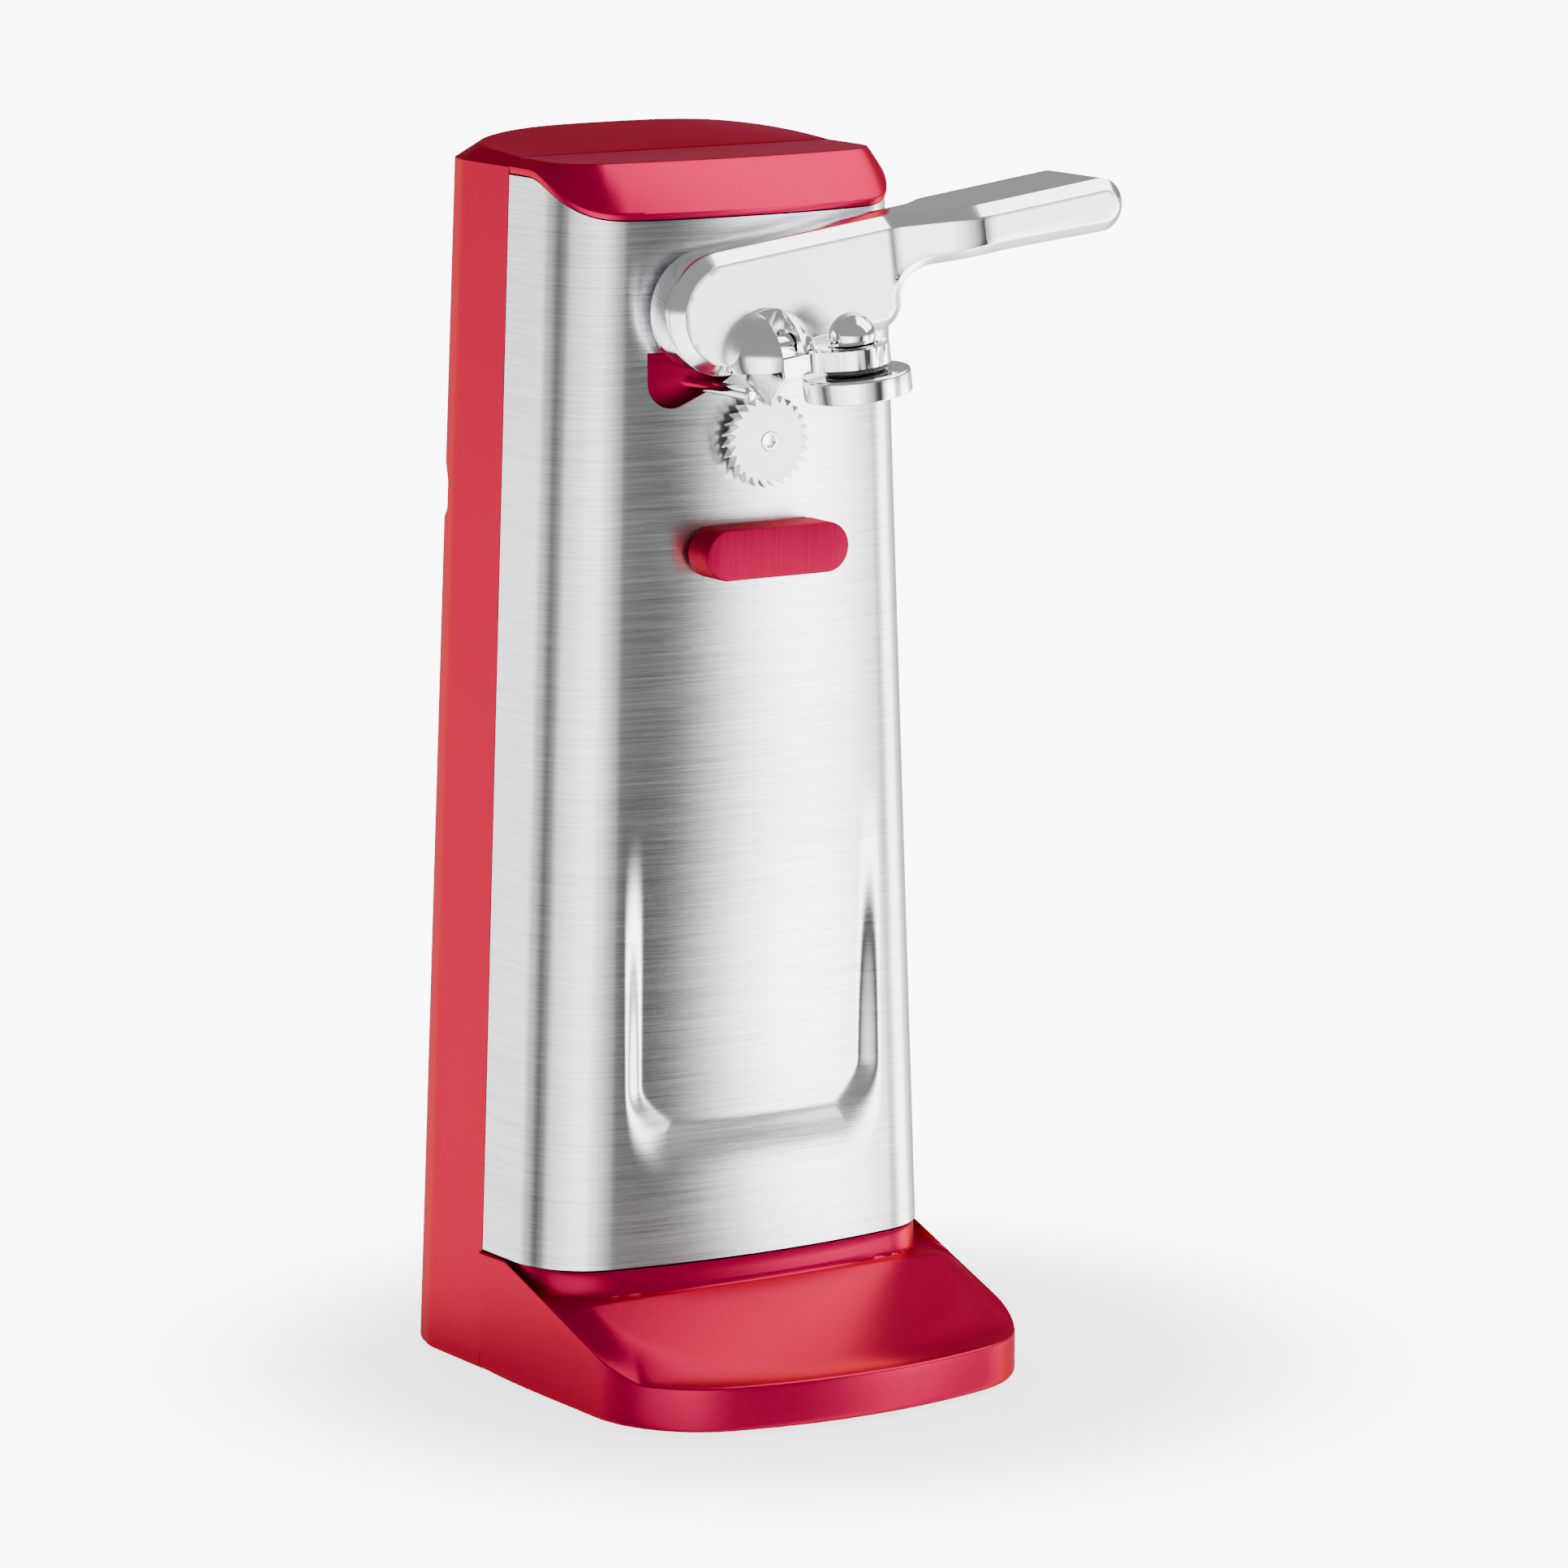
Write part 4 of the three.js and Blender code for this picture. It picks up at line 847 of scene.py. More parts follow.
@dataclass
class FrontHousing:
    """The red front moulding: cap with its sloping face, base with its dished tray, and the recess."""

    columns: int = 260
    base_front: float = 75.2
    base_bow: float = 112.7
    base_corner: float = 25.0
    base_lip: float = 9.4
    rim_top: float = 25.2
    rim_start: float = -11.0
    rim_end: float = -59.0
    ledge: float = 21.4
    edge: float = 0.5
    wall: float = 1.8
    column_top: float = 237.0

    def build(self, finish: bpy.types.Material) -> None:
        """Builds the four parts of the moulding; the cap stands for the whole node."""
        add_piece(self.cap(), finish, "body", "red_plastic", "front_housing")
        for part in (self.base, self.recess, self.column):
            add_piece(part(), finish, "body", "red_plastic")

    def cap(self) -> bpy.types.Object:
        """The cap: a short upright lip, a sloping face and the level front half of the top."""
        foot = FORM.front_outline(self.columns)
        body = FORM.at_lip(foot)
        lip = FORM.lip(body[:, 1])
        low = FORM.skin(foot, (lip + 0.15)[None], FORM.front)[0]
        edge = FORM.bowed(FORM.edge_side, FORM.edge_front, 170.0, 9.5, self.columns)
        grow = 1.0 + 0.35 / 31.0
        rise = mix(1.3, 1.4, FORM.sweep(body[:, 1]))
        side = np.clip((low[:, 1] + 29.0) / 29.0, 0.0, 1.0) ** 2
        rows = [
            np.column_stack([low[:, 0] * 0.955, low[:, 1] * 0.94, lip + 0.15]),
            np.column_stack([low[:, 0] * 0.992, low[:, 1] * 0.99, lip + 0.15]),
        ]
        proud = mix(grow, 1.0, side)
        for up, out in ((0.05, 0.9965), (0.35, 1.0), (0.8, 1.0), (1.0, 1.0)):
            height = lip + 0.15 + rise * up
            rows.append(np.column_stack([low[:, 0] * out * proud, low[:, 1] * out * proud, height]))
        shoulder = rows[-1]
        top = np.column_stack([edge, np.full(self.columns, FORM.top)])
        top[:, 0] = mix(top[:, 0], np.sign(top[:, 0]) * FORM.edge_side, smooth((top[:, 1] + 12.0) / 12.0))
        for t in (0.03, 0.2, 0.4, 0.6, 0.8, 0.95, 0.985):
            belly = 0.45 * math.sin(math.pi * t)
            ring = mix(shoulder, top, t)
            ring[:, 2] += belly * smooth((-shoulder[:, 1] - 4.0) / 20.0)
            rows.append(ring)
        for t in (0.992, 0.975, 0.95, 0.85, 0.7, 0.5, 0.3, 0.1):
            rows.append(np.column_stack([top[:, 0] * t, -FORM.seam + (top[:, 1] + FORM.seam) * t, top[:, 2]]))
        sheet = Sheet("cap").grid(np.stack(rows))
        sheet.fan(rows[-1], np.array([0.0, -FORM.seam, FORM.top]))
        sheet.triangles[-1] = sheet.triangles[-1][:-1]
        cap = sheet.make(outward=False, sharp=50.0)
        return thicken(cap, 1.6)

    def rim(self, y: Array) -> Array:
        """Height of the base's side rim: a straight fall from the steel to the front lip."""
        slope = (self.rim_start - y) / (self.rim_start - self.rim_end)
        return mix(self.rim_top, self.base_lip, np.clip(slope, 0.0, 1.0))

    def base(self) -> bpy.types.Object:
        """The base: upright walls to the rim, a rounded rim, the dished tray and the ledge.

        Rings run from the footprint to the column. The tray's height is a blend of the rim and a
        floor that falls to the front, by the distance from the rim, and a fillet lifts it to the
        ledge near the column.
        """
        foot = FORM.bowed(FORM.side_foot, self.base_front, self.base_bow, self.base_corner, self.columns)
        neck = FORM.bowed(FORM.side_foot - 0.9, FORM.front_foot - 0.2, FORM.bow, FORM.corner, self.columns)
        neck[:, 0] *= FORM.side(25.0) / FORM.side_foot
        rim = np.minimum(self.rim(foot[:, 1]), 25.3)
        inward = neck - foot
        reach = np.maximum(np.linalg.norm(inward, axis=1), 1e-6)
        unit = inward / reach[:, None]
        edge, wall = self.edge, self.wall
        rows = []
        for z, tuck in ((0.0, 1.1), (0.3, 0.45), (0.8, 0.1), (1.5, 0.0)):
            rows.append(on_ring(foot + unit * np.minimum(tuck, reach)[:, None], z))
        for t in (0.25, 0.5, 0.75, 0.9, 1.0):
            rows.append(on_ring(foot, mix(1.5, rim - edge, t)))
        for angle in np.radians([22.5, 45.0, 67.5, 90.0]):
            step = np.minimum(edge * (1 - math.cos(angle)), 0.5 * reach)
            rows.append(on_ring(foot + unit * step[:, None], rim - edge + edge * math.sin(angle)))
        shares = np.concatenate([np.linspace(0.02, 0.88, 50), np.linspace(0.89, 1.0, 24)])
        under = []
        for t in shares:
            away = np.minimum(edge + (reach - edge) * t, reach)
            spot = foot + unit * away[:, None]
            height = self.tray(spot, rim, reach, away)
            rows.append(on_ring(spot, height))
            if t > 0.1:
                below = np.minimum(height, np.where(reach - away < 2.0, self.ledge, height)) - wall
                inner = foot + unit * np.minimum(np.maximum(away, 2.4), reach + 2.0)[:, None]
                under.append(on_ring(inner, np.maximum(below, 1.2)))
        rows.append(on_ring(neck, 25.1))
        rows.append(on_ring(neck * 0.95, 25.1))
        under.append(on_ring(neck * 0.95, self.ledge - wall))
        rows += under[::-1]
        rows.append(on_ring(foot + unit * np.minimum(2.4, reach + 1.2)[:, None], 0.0))
        rows.append(rows[0])
        return Sheet("base").grid(np.stack(rows)).make(sharp=50.0, close=True)

    def tray(self, spot: Array, rim: Array, reach: Array, away: Array) -> Array:
        """Height of the tray.

        The middle falls forward as 7.6 + 12.4 (1 - s)^1.1, for s from the column to the front, and
        meets the rim along the sides as a power of the distance from it. A narrow ledge with a
        short drop below it leads up to the column.

        Args:
            spot: the points' (x, y).
            rim: height of the rim outwards of each point.
            reach: whole distance from the rim to the column.
            away: each point's distance from the rim.

        Returns:
            The heights.
        """
        to_neck = reach - away
        fall = np.clip((-34.5 - spot[:, 1]) / 37.0, 0.0, 1.0)
        floor = 7.6 + 12.4 * (1.0 - fall) ** 1.1
        bowl = np.clip((away - self.edge) / 15.0, 0.0, 1.0)
        height = floor + (rim - floor) * (1.0 - bowl) ** 2.2
        lift = 1.0 - smooth((to_neck - 1.0) / 1.4)
        height = mix(height, np.maximum(np.minimum(self.ledge, rim), height), lift)
        upright = 1.0 - smooth(to_neck / 0.9)
        return mix(height, 25.1, upright * (reach > 1.5))

    def recess(self) -> bpy.types.Object:
        """The recess behind the opening in the steel: a liner with a sloping boss for the pin."""
        rim = recess_outline(0.05)
        floor, tuck = -24.5, 0.7
        steps = (
            (-30.2, 0.0), (-29.6, 0.1), (-26.0, 0.2), (-25.0, 0.3), (-24.7, 0.45), (floor, tuck),
        )
        rows = [on_y(offset(rim, inset), y) for y, inset in steps]
        sheet = Sheet("recess").grid(np.stack(rows), wrap=True)
        spots, faces = filled(offset(rim, tuck))
        sheet.facets(on_y(spots, floor), faces)
        liner = sheet.make(outward=False)
        for face in liner.data.polygons:
            face.flip()
        corners = [[0.0, -26.4], [1.9, -26.4], [3.2, -24.0], [0.0, -24.0]]
        profile = rounded_profile(corners, [0, 0.5, 0.3, 0], 5)
        boss = lathe("pin_boss", profile, (PIN_AT[0], 0.0, PIN_AT[1]), (0, 1, 0), 40).make()
        thick = liner.modifiers.new("wall", "SOLIDIFY")
        thick.thickness = 1.0 * MM
        thick.offset = -1.0
        bake_modifiers(liner)
        return carve(liner, [boss], join=True)

    def column(self) -> bpy.types.Object:
        """The moulded column just behind the steel, seen only through gaps, as a closed jacket."""
        outline = FORM.bowed(
            FORM.side_foot - 4.0, FORM.front_foot - 4.4, FORM.bow - 4, FORM.corner - 4, 60
        )
        heights = np.repeat(np.array([[26.5], [130.0], [self.column_top]]), 60, axis=1)
        skin = FORM.skin(outline, heights, FORM.front)
        return thicken(Sheet("column").grid(skin).make(outward=False), 1.0)


def recess_outline(grow: float) -> Array:
    """Outline of the recess: upright left side, round foot and a lower edge that rises to the right."""
    top, right = 213.0, -4.0 + grow
    foot = arc((-19.3, 206.8), 5.0 + grow, 180.0, 297.0, 30)
    corners = [foot[-1], [-8.0, 206.4 - grow], [right, 209.0], [right, top]]
    rise = rounded_profile(corners, [0, 1.5, 1.2, 0], 6)
    return np.vstack([[[-24.3 - grow, top]], foot, rise[1:]])


@dataclass
class SteelCover:
    """The brushed steel sheet with its shallow embossed panel and its openings."""

    columns: int = 320
    rows: int = 300
    bottom: float = 25.5
    sheet: float = 0.6
    half_panel: float = 31.0
    panel_foot: float = 42.5
    panel_corner: float = 10.0
    panel_depth: float = 2.3

    def emboss(self, x: Array, z: Array) -> Array:
        """Depth of the embossed panel.

        The distance inside an upright panel with rounded lower corners is eased into a step, and
        the depth fades out upwards.
        """
        reach = self.panel_corner
        dx = np.abs(x) - (self.half_panel - reach)
        dz = (self.panel_foot + reach) - z
        outside = np.hypot(np.maximum(dx, 0), np.maximum(dz, 0)) + np.minimum(np.maximum(dx, dz), 0)
        inside = reach - outside
        fade = 1.0 - smooth((z - 58.0) / 66.0)
        soft = mix(5.0, 21.0, smooth((self.panel_foot + 20.0 - z) / 18.0))
        return self.panel_depth * fade * smooth(inside / soft)

    def build(self, finish: bpy.types.Material) -> None:
        """Builds the sheet from the seam round the front, up to the cap's lower edge."""
        foot = FORM.front_outline(self.columns)
        body = FORM.at_lip(foot)
        high = FORM.lip(body[:, 1]) - 0.12
        share = np.linspace(0.0, 1.0, self.rows)[:, None]
        heights = self.bottom + (high[None] - self.bottom) * share
        skin = FORM.skin(foot, heights, FORM.front)
        skin[..., 1] += self.emboss(skin[..., 0], skin[..., 2]) * (skin[..., 1] < -20)
        cover = thicken(Sheet("steel_front").grid(skin).make(outward=False, sharp=60), self.sheet)
        openings = (
            ("recess_cut", recess_outline(0.25)), ("spindle_cut", disc(SPINDLE_AT, 6.4)),
            ("shaft_cut", disc(WHEEL_AT, 5.5)),
        )
        cutters = [prism(name, outline, -60, -10, on_y).make() for name, outline in openings]
        add_piece(carve(cover, cutters), finish, "body", "brushed_steel", "steel_cover")


# ---------------------------------------------------------------- camera and light


FOOT_LEVEL = 1.02
TABLE_TOP = Finish(
    "pale_table", (0.93, 0.93, 0.93), (0.90, 0.90, 0.90), 0.55, 0.1, bump=0.01, wear=0.0, patch=6.0,
)


@dataclass
class Studio:
    """A pale floor, a wide soft surround and a long lens at eye level."""

    azimuth: float = -32.315
    elevation: float = 10.152
    distance: float = 1594.37
    lens: float = 174.7
    target: tuple[float, float, float] = (26.224, 0.0, 116.0)
    brightest: float = 10.0
    overhead: float = 0.037
    box_level: float = 0.15
    soft_box: tuple[float, float, float] = (0.6, -0.2, 0.775)

    def camera(self) -> None:
        """Places the camera on a sphere round the target, looking at it, without shift or blur."""
        turn, rise = math.radians(self.azimuth), math.radians(self.elevation)
        back = Vector((math.sin(turn) * math.cos(rise), -math.cos(turn) * math.cos(rise), math.sin(rise)))
        aim = Vector((np.array(self.target) + SHIFT) * MM)
        data = bpy.data.cameras.new("camera")
        data.lens = self.lens
        data.sensor_width = 36.0
        data.clip_start = 0.05
        data.clip_end = 80.0
        eye = bpy.data.objects.new("camera", data)
        eye.location = aim + back * self.distance * MM
        eye.rotation_euler = back.to_track_quat("Z", "Y").to_euler()
        bpy.context.scene.collection.objects.link(eye)
        bpy.context.scene.camera = eye

    def world(self) -> None:
        """A studio surround: bands of light and grey by compass direction, brighter overhead.

        The bands stand for soft boxes and dark flats round the table. They are keyed to the
        horizontal angle of the direction, so that the steel front shows upright bands.
        """
        world = bpy.data.worlds.new("studio")
        world.use_nodes = True
        tree = world.node_tree
        tree.nodes.clear()
        nodes = Nodes(tree)
        way = nodes.add("TexCoord").outputs["Generated"]
        parts = nodes.add("SeparateXYZ", {0: way})
        compass = nodes.value("ARCTAN2", parts.outputs[0], nodes.value("MULTIPLY", parts.outputs[1], -1.0))
        ramp = nodes.add("ValToRGB", {0: nodes.ramp(compass, -math.pi, math.pi)})
        bands = ramp.color_ramp
        bands.interpolation = "EASE"
        bands.elements.remove(bands.elements[1])
        for degrees, level in self.bands():
            place = (degrees + 180.0) / 360.0
            element = bands.elements.new(place) if place else bands.elements[0]
            element.color = (*[level / self.brightest] * 3, 1.0)
        facing = nodes.add("VectorMath", {0: way, 1: self.soft_box}, operation="DOT_PRODUCT").outputs["Value"]
        box = nodes.ramp(facing, 0.86, 0.99)
        above = nodes.tint(box, (*[self.overhead] * 3, 1.0), (*[self.box_level] * 3, 1.0))
        height = nodes.ramp(parts.outputs[2], -0.08, 0.04)
        sky = nodes.tint(height, ramp.outputs[0], above)
        light = nodes.add("Background", {"Color": sky, "Strength": self.brightest})
        shown = nodes.add("Background", {"Color": (1.0, 1.0, 1.0, 1.0), "Strength": 9.0})
        seen = nodes.add("LightPath").outputs["Is Camera Ray"]
        blend = nodes.add("MixShader", {0: seen, 1: light.outputs[0], 2: shown.outputs[0]})
        output = nodes.add("OutputWorld")
        tree.links.new(blend.outputs[0], output.inputs[0])
        bpy.context.scene.world = world

    @staticmethod
    def bands() -> list[tuple[float, float]]:
        """Compass angle from straight ahead of the front, towards the right, and the light there."""
        return [
            (-180, 2.6), (-152, 3.2), (-140, 3.2), (-126, 1.2), (-108, 0.15), (-98, 0.5), (-84, 2.8),
            (-68, 3.8), (-50, 5.0), (-36, 5.2), (-22, 3.0), (-9, 1.5), (0, 0.8), (7, 0.25), (12, 0.08),
            (18, 0.08), (21, 0.3), (24, 1.0), (27, 2.4), (30, 4.6), (34, 8.0), (39, 10.0), (49, 9.0),
            (54, 3.2), (59, 1.6), (67, 2.2), (78, 8.0), (92, 8.0), (103, 2.4), (122, 1.0), (150, 1.0),
            (166, 1.8),
        ]

    @staticmethod
    def lamp(name: str, place: Sequence[float], size: float, power: float, aim: Sequence[float]) -> None:
        """A square soft lamp facing a point; places in metres."""
        data = bpy.data.lights.new(name, "AREA")
        data.shape = "SQUARE"
        data.size = size
        data.energy = power
        lamp = bpy.data.objects.new(name, data)
        lamp.location = place
        lamp.rotation_euler = (Vector(place) - Vector(aim)).to_track_quat("Z", "Y").to_euler()
        bpy.context.scene.collection.objects.link(lamp)

    def lights(self) -> None:
        """A large lamp high on the right, where the surround has its soft box."""
        aim = (0.0, 0.0, 0.13)
        self.lamp("overhead", (0.9, -0.35, 1.15), 1.5, 32.0, aim)

    def floor(self) -> None:
        """A pale round table top under the feet, whose edge fades into the bright surround."""
        level = -FOOT_LEVEL
        ring = disc((0.0, 0.0), 500.0, 96)
        top = Sheet("floor").fan(on_z(ring, level), np.array([0.0, 0.0, level])).make(outward=False)
        for face in top.data.polygons:
            if face.normal.z < 0:
                face.flip()
        material = TABLE_TOP.build()
        nodes = Nodes(material.node_tree)
        place = nodes.add("TexCoord").outputs["Object"]
        reach = nodes.add("VectorMath", {0: place}, operation="LENGTH").outputs["Value"]
        shader = next(node for node in material.node_tree.nodes if node.type == "BSDF_PRINCIPLED")
        links = {"Value": reach, "From Min": 0.06, "From Max": 0.17, "To Min": 0.7, "To Max": 0.0}
        fade = nodes.add("MapRange", links, interpolation_type="SMOOTHERSTEP")
        material.node_tree.links.new(fade.outputs[0], shader.inputs["Alpha"])
        dress(top, material)

    def build(self) -> None:
        """Sets up the whole studio."""
        self.camera()
        self.world()
        self.lights()
        self.floor()


# ---------------------------------------------------------------- lever head


@dataclass
class LeverFrame:
    """The lever's own directions: p along it, q across it, y through it."""

    x: float = SPINDLE_AT[0]
    z: float = SPINDLE_AT[1]
    tilt: float = 7.4

    def place(self, spot: Array) -> Array:
        """Points (p, y, q) of the lever put in the housing frame."""
        turn = math.radians(self.tilt)
        p, y, q = spot[..., 0], spot[..., 1], spot[..., 2]
        x = self.x + p * math.cos(turn) - q * math.sin(turn)
        z = self.z + p * math.sin(turn) + q * math.cos(turn)
        return np.stack([x, y, z], axis=-1)

    def through(self, outline: Array, y: float) -> Array:
        """Outline points (p, q) at depth y."""
        return self.place(on_y(outline, y))

    def level(self, outline: Array, q: float) -> Array:
        """Outline points (p, y) at height q."""
        return self.place(on_z(outline, q))

    def across(self, outline: Array, p: float) -> Array:
        """Outline points (y, q) at place p along the lever."""
        return self.place(np.stack([np.full(len(outline), p), outline[:, 0], outline[:, 1]], axis=1))

    @property
    def up(self) -> Array:
        """Direction of q in the housing frame."""
        turn = math.radians(self.tilt)
        return np.array([-math.sin(turn), 0.0, math.cos(turn)])

    @property
    def along(self) -> Array:
        """Direction of p in the housing frame."""
        turn = math.radians(self.tilt)
        return np.array([math.cos(turn), 0.0, math.sin(turn)])


TILTED = LeverFrame()


def ease_path(p: Array, bends: Sequence[tuple[float, float]], soft: Array) -> Array:
    """A bent line with rounded corners.

    Args:
        p: where to read it.
        bends: its corners (place, value).
        soft: length over which each corner is rounded.

    Returns:
        The values: the plain line averaged over a window of that length.
    """
    places, values = zip(*bends)
    window = np.linspace(-0.5, 0.5, 21)
    return np.mean([np.interp(p + part * soft, places, values) for part in window], axis=0)


@dataclass
class Lever:
    """The cranked casting with its bevelled front, the dome and the parts that it carries."""

    hub: float = 12.5
    top: float = 12.5
    bottom: float = 1.5
    length: float = 92.0
    bevel: float = 2.3
    step: float = 0.45
    hub_front: float = -42.8
    handle_front: float = -52.2
    hub_back: float = -32.3
    handle_back: float = -29.6
    dome_at: tuple[float, float] = (8.3, -9.75)
    dome_radius: float = 9.5
    dome_foot: float = -11.8
    slot: tuple[float, float] = (5.9, 10.9)
    slot_floor: float = -44.0

    def outline(self) -> Array:
        """The casting seen from the front, anticlockwise from the hub's top."""
        end = (self.top - self.bottom) / 2
        middle = (self.top + self.bottom) / 2
        neck = [[3.1, -12.1], [6, -11.4], [12, -11], [16, -10.6], [36.2, -10.4]]
        handle = [[48.4, 1.6], [60, 2.3], [self.length - end, self.bottom]]
        line = np.vstack([
            arc((0, 0), self.hub, 90, 284.4, 90),
            rounded_profile(neck, [0, 2, 2, 2, 0], 5),
            arc((36.5, -5.2), 5.2, -90, -8.6, 26),
            arc((48.4, -5.2), 6.8, 171.4, 90, 30),
            rounded_profile(handle, [0, 5, 0], 9),
            arc((self.length - end, middle), end, -90, 90, 40),
            [[0.0, self.hub]],
        ])
        return resample(line, int(260 / self.step))[:-1]

    def face(self, p: Array) -> Array:
        """Depth of the front: level over the hub, a ramp forward, then level along the handle."""
        hub, handle = self.hub_front, self.handle_front
        soft = mix(2.6, 8.0, smooth((p - 44.0) / 6.0))
        return ease_path(p, [(-20, hub), (40.5, hub), (55.0, handle), (110, handle)], soft)

    def back(self, p: Array) -> Array:
        """Depth of the back, with a small step out behind the handle."""
        hub, handle = self.hub_back, self.handle_back
        return ease_path(p, [(-20, hub), (50.5, hub), (55.0, handle), (110, handle)], 1.6)

    def ring(self, outline: Array, inset: float, lift: float, front: bool) -> Array:
        """The outline moved in by inset and set lift before or behind the front or back."""
        spot = offset(outline, inset)
        depth = self.face(spot[:, 0]) + lift if front else self.back(spot[:, 0]) - lift
        return np.stack([spot[:, 0], depth, spot[:, 1]], axis=1)

    def fill(self, sheet: Sheet, rim: Array, depth: Callable[[Array], Array]) -> None:
        """Fills a rim with a fine triangle net that follows the depth."""
        p = np.concatenate([np.arange(-12, 37, 1.6), np.arange(37, 58, 0.45), np.arange(58, 92, 1.6)])
        net = np.stack(np.meshgrid(p, np.arange(-12.2, 12.4, 1.2)), axis=-1).reshape(-1, 2)
        plan = rim[:, [0, 2]]
        gap = np.min(np.linalg.norm(net[:, None] - plan[None], axis=2), axis=1)
        spot, faces = filled(plan, net[gap > 0.5])
        place = TILTED.place(np.stack([spot[:, 0], depth(spot[:, 0]), spot[:, 1]], axis=1))
        sheet.facets(place, faces)

    def casting(self, satin: bpy.types.Material, polished: bpy.types.Material) -> bpy.types.Object:
        """Builds the casting: rings round the outline, filled front and back, and the slotted dome."""
        outline = self.outline()
        bevel = self.bevel
        steps = (
            (1.0, 0.0, False), (0.3, 0.3, False), (0.0, 1.0, False), (0.0, 3.0, False),
            (0.0, bevel + 1.5, True), (0.0, bevel + 0.12, True), (0.04, bevel, True),
            (0.12, bevel - 0.1, True), (bevel - 0.12, 0.12, True), (bevel - 0.04, 0.04, True),
            (bevel + 0.1, 0.0, True),
        )
        rings = [self.ring(outline, *step) for step in steps]
        sheet = Sheet("lever_arm").grid(TILTED.place(np.stack(rings)), wrap=True)
        self.fill(sheet, rings[-1], self.face)
        self.fill(sheet, rings[0], self.back)
        arm = sheet.make(sharp=24.0)
        arm = carve(arm, [self.dome()], join=True)
        spindle, bore = TILTED.place(np.array([0, -24, 0.0])), np.array([[4.4, 20.0], [4.4, -8.0]])
        carve(arm, [
            self.slab("slot", self.slot, (-30, 20), (-60, self.slot_floor)),
            lathe("spindle_hole", bore, spindle, (0, 1, 0), 48).fan_ends().make(),
        ])
        dress(arm, satin, polished)
        self.paint(arm)
        return arm

    @staticmethod
    def slab(
        name: str, across: tuple[float, float], up: tuple[float, float], deep: tuple[float, float]
    ) -> bpy.types.Object:
        """A block between three pairs of limits: along p, along q and in depth."""
        return prism(name, rectangle(*across, *up), *deep, TILTED.through).make()

    def dome(self) -> bpy.types.Object:
        """The dome: part of a ball, cut flat below, with its right half cut back over the arm."""
        turns = np.radians(np.concatenate([np.linspace(0, 88, 44), np.linspace(92, 116, 8)]))
        profile = np.stack([self.dome_radius * np.sin(turns), -self.dome_radius * np.cos(turns)], axis=1)
        profile = np.vstack([profile, [[0.0, profile[-1, 1]]]])
        centre = TILTED.place(np.array([self.dome_at[0], self.hub_front, self.dome_at[1]]))
        ball = lathe("dome", profile, centre, (0, 1, 0), 128).make()
        carve(ball, [
            self.slab("under", (-20, 40), (-40, self.dome_foot), (-70, 0)),
            self.slab("arm_way", (self.slot[1] - 0.1, 40), (-40, -9.05), (-70, -43.0)),
            self.slab("slot", self.slot, (-30, 20), (-70, self.slot_floor)),
        ])
        return soften(ball, 0.22, 35.0, 2)

    def paint(self, arm: bpy.types.Object) -> None:
        """Gives the level front the satin material, and the polished one to everything else."""
        polygons = arm.data.polygons
        spots, normals = np.empty(len(polygons) * 3), np.empty(len(polygons) * 3)
        polygons.foreach_get("center", spots)
        polygons.foreach_get("normal", normals)
        x, y, _ = (spots.reshape(-1, 3) / MM - SHIFT).T
        hub = (y > self.hub_front - 0.2) & (y < self.hub_front + 0.2)
        handle = (y < self.handle_front + 0.2) & (x > 30)
        plain = (-normals.reshape(-1, 3)[:, 1] > 0.97) & (hub | handle)
        polygons.foreach_set("material_index", np.where(plain, 0, 1).astype(np.int32))

    def blade(self) -> bpy.types.Object:
        """The cutter: a flat plate with a V below, ground back on its right edge."""
        front, thick = -38.4, 2.0
        p, q, tip = 10.8, -14.0, -21.5
        left, right, head = p - 7.4, p + 7.8, q + 9.6
        full = np.array([
            [left, head], [left, q + 1.4], [p - 4.4, q + 0.4], [p - 4.9, q - 1.4], [p, tip],
            [right, q], [right, head],
        ])
        ground = full.copy()
        ground[4] = [p - 0.5, tip + 1.3]
        ground[5] = [p + 5.6, q + 0.3]
        ground[6] = [p + 5.6, head]
        ground[3] = ground[3] + [0.25, 0.2]
        steps = ((ground, front), (full, front + 1.1), (full, front + thick))
        rows = [TILTED.through(outline, depth) for outline, depth in steps]
        sheet = Sheet("cutter").grid(np.stack(rows), wrap=True)
        for outline, depth in (steps[0], steps[-1]):
            spots, faces = filled(outline)
            sheet.facets(TILTED.through(spots, depth), faces)
        return soften(sheet.make(sharp=20), 0.08, 15.0, 2)

    def build(
        self, satin: bpy.types.Material, polished: bpy.types.Material, steel: bpy.types.Material
    ) -> None:
        """Builds the casting and the cutter."""
        place_piece(self.casting(satin, polished), "lever", "cast_metal", "lever_casting")
        add_piece(self.blade(), steel, "lever", "plain_steel", "cutter_blade")


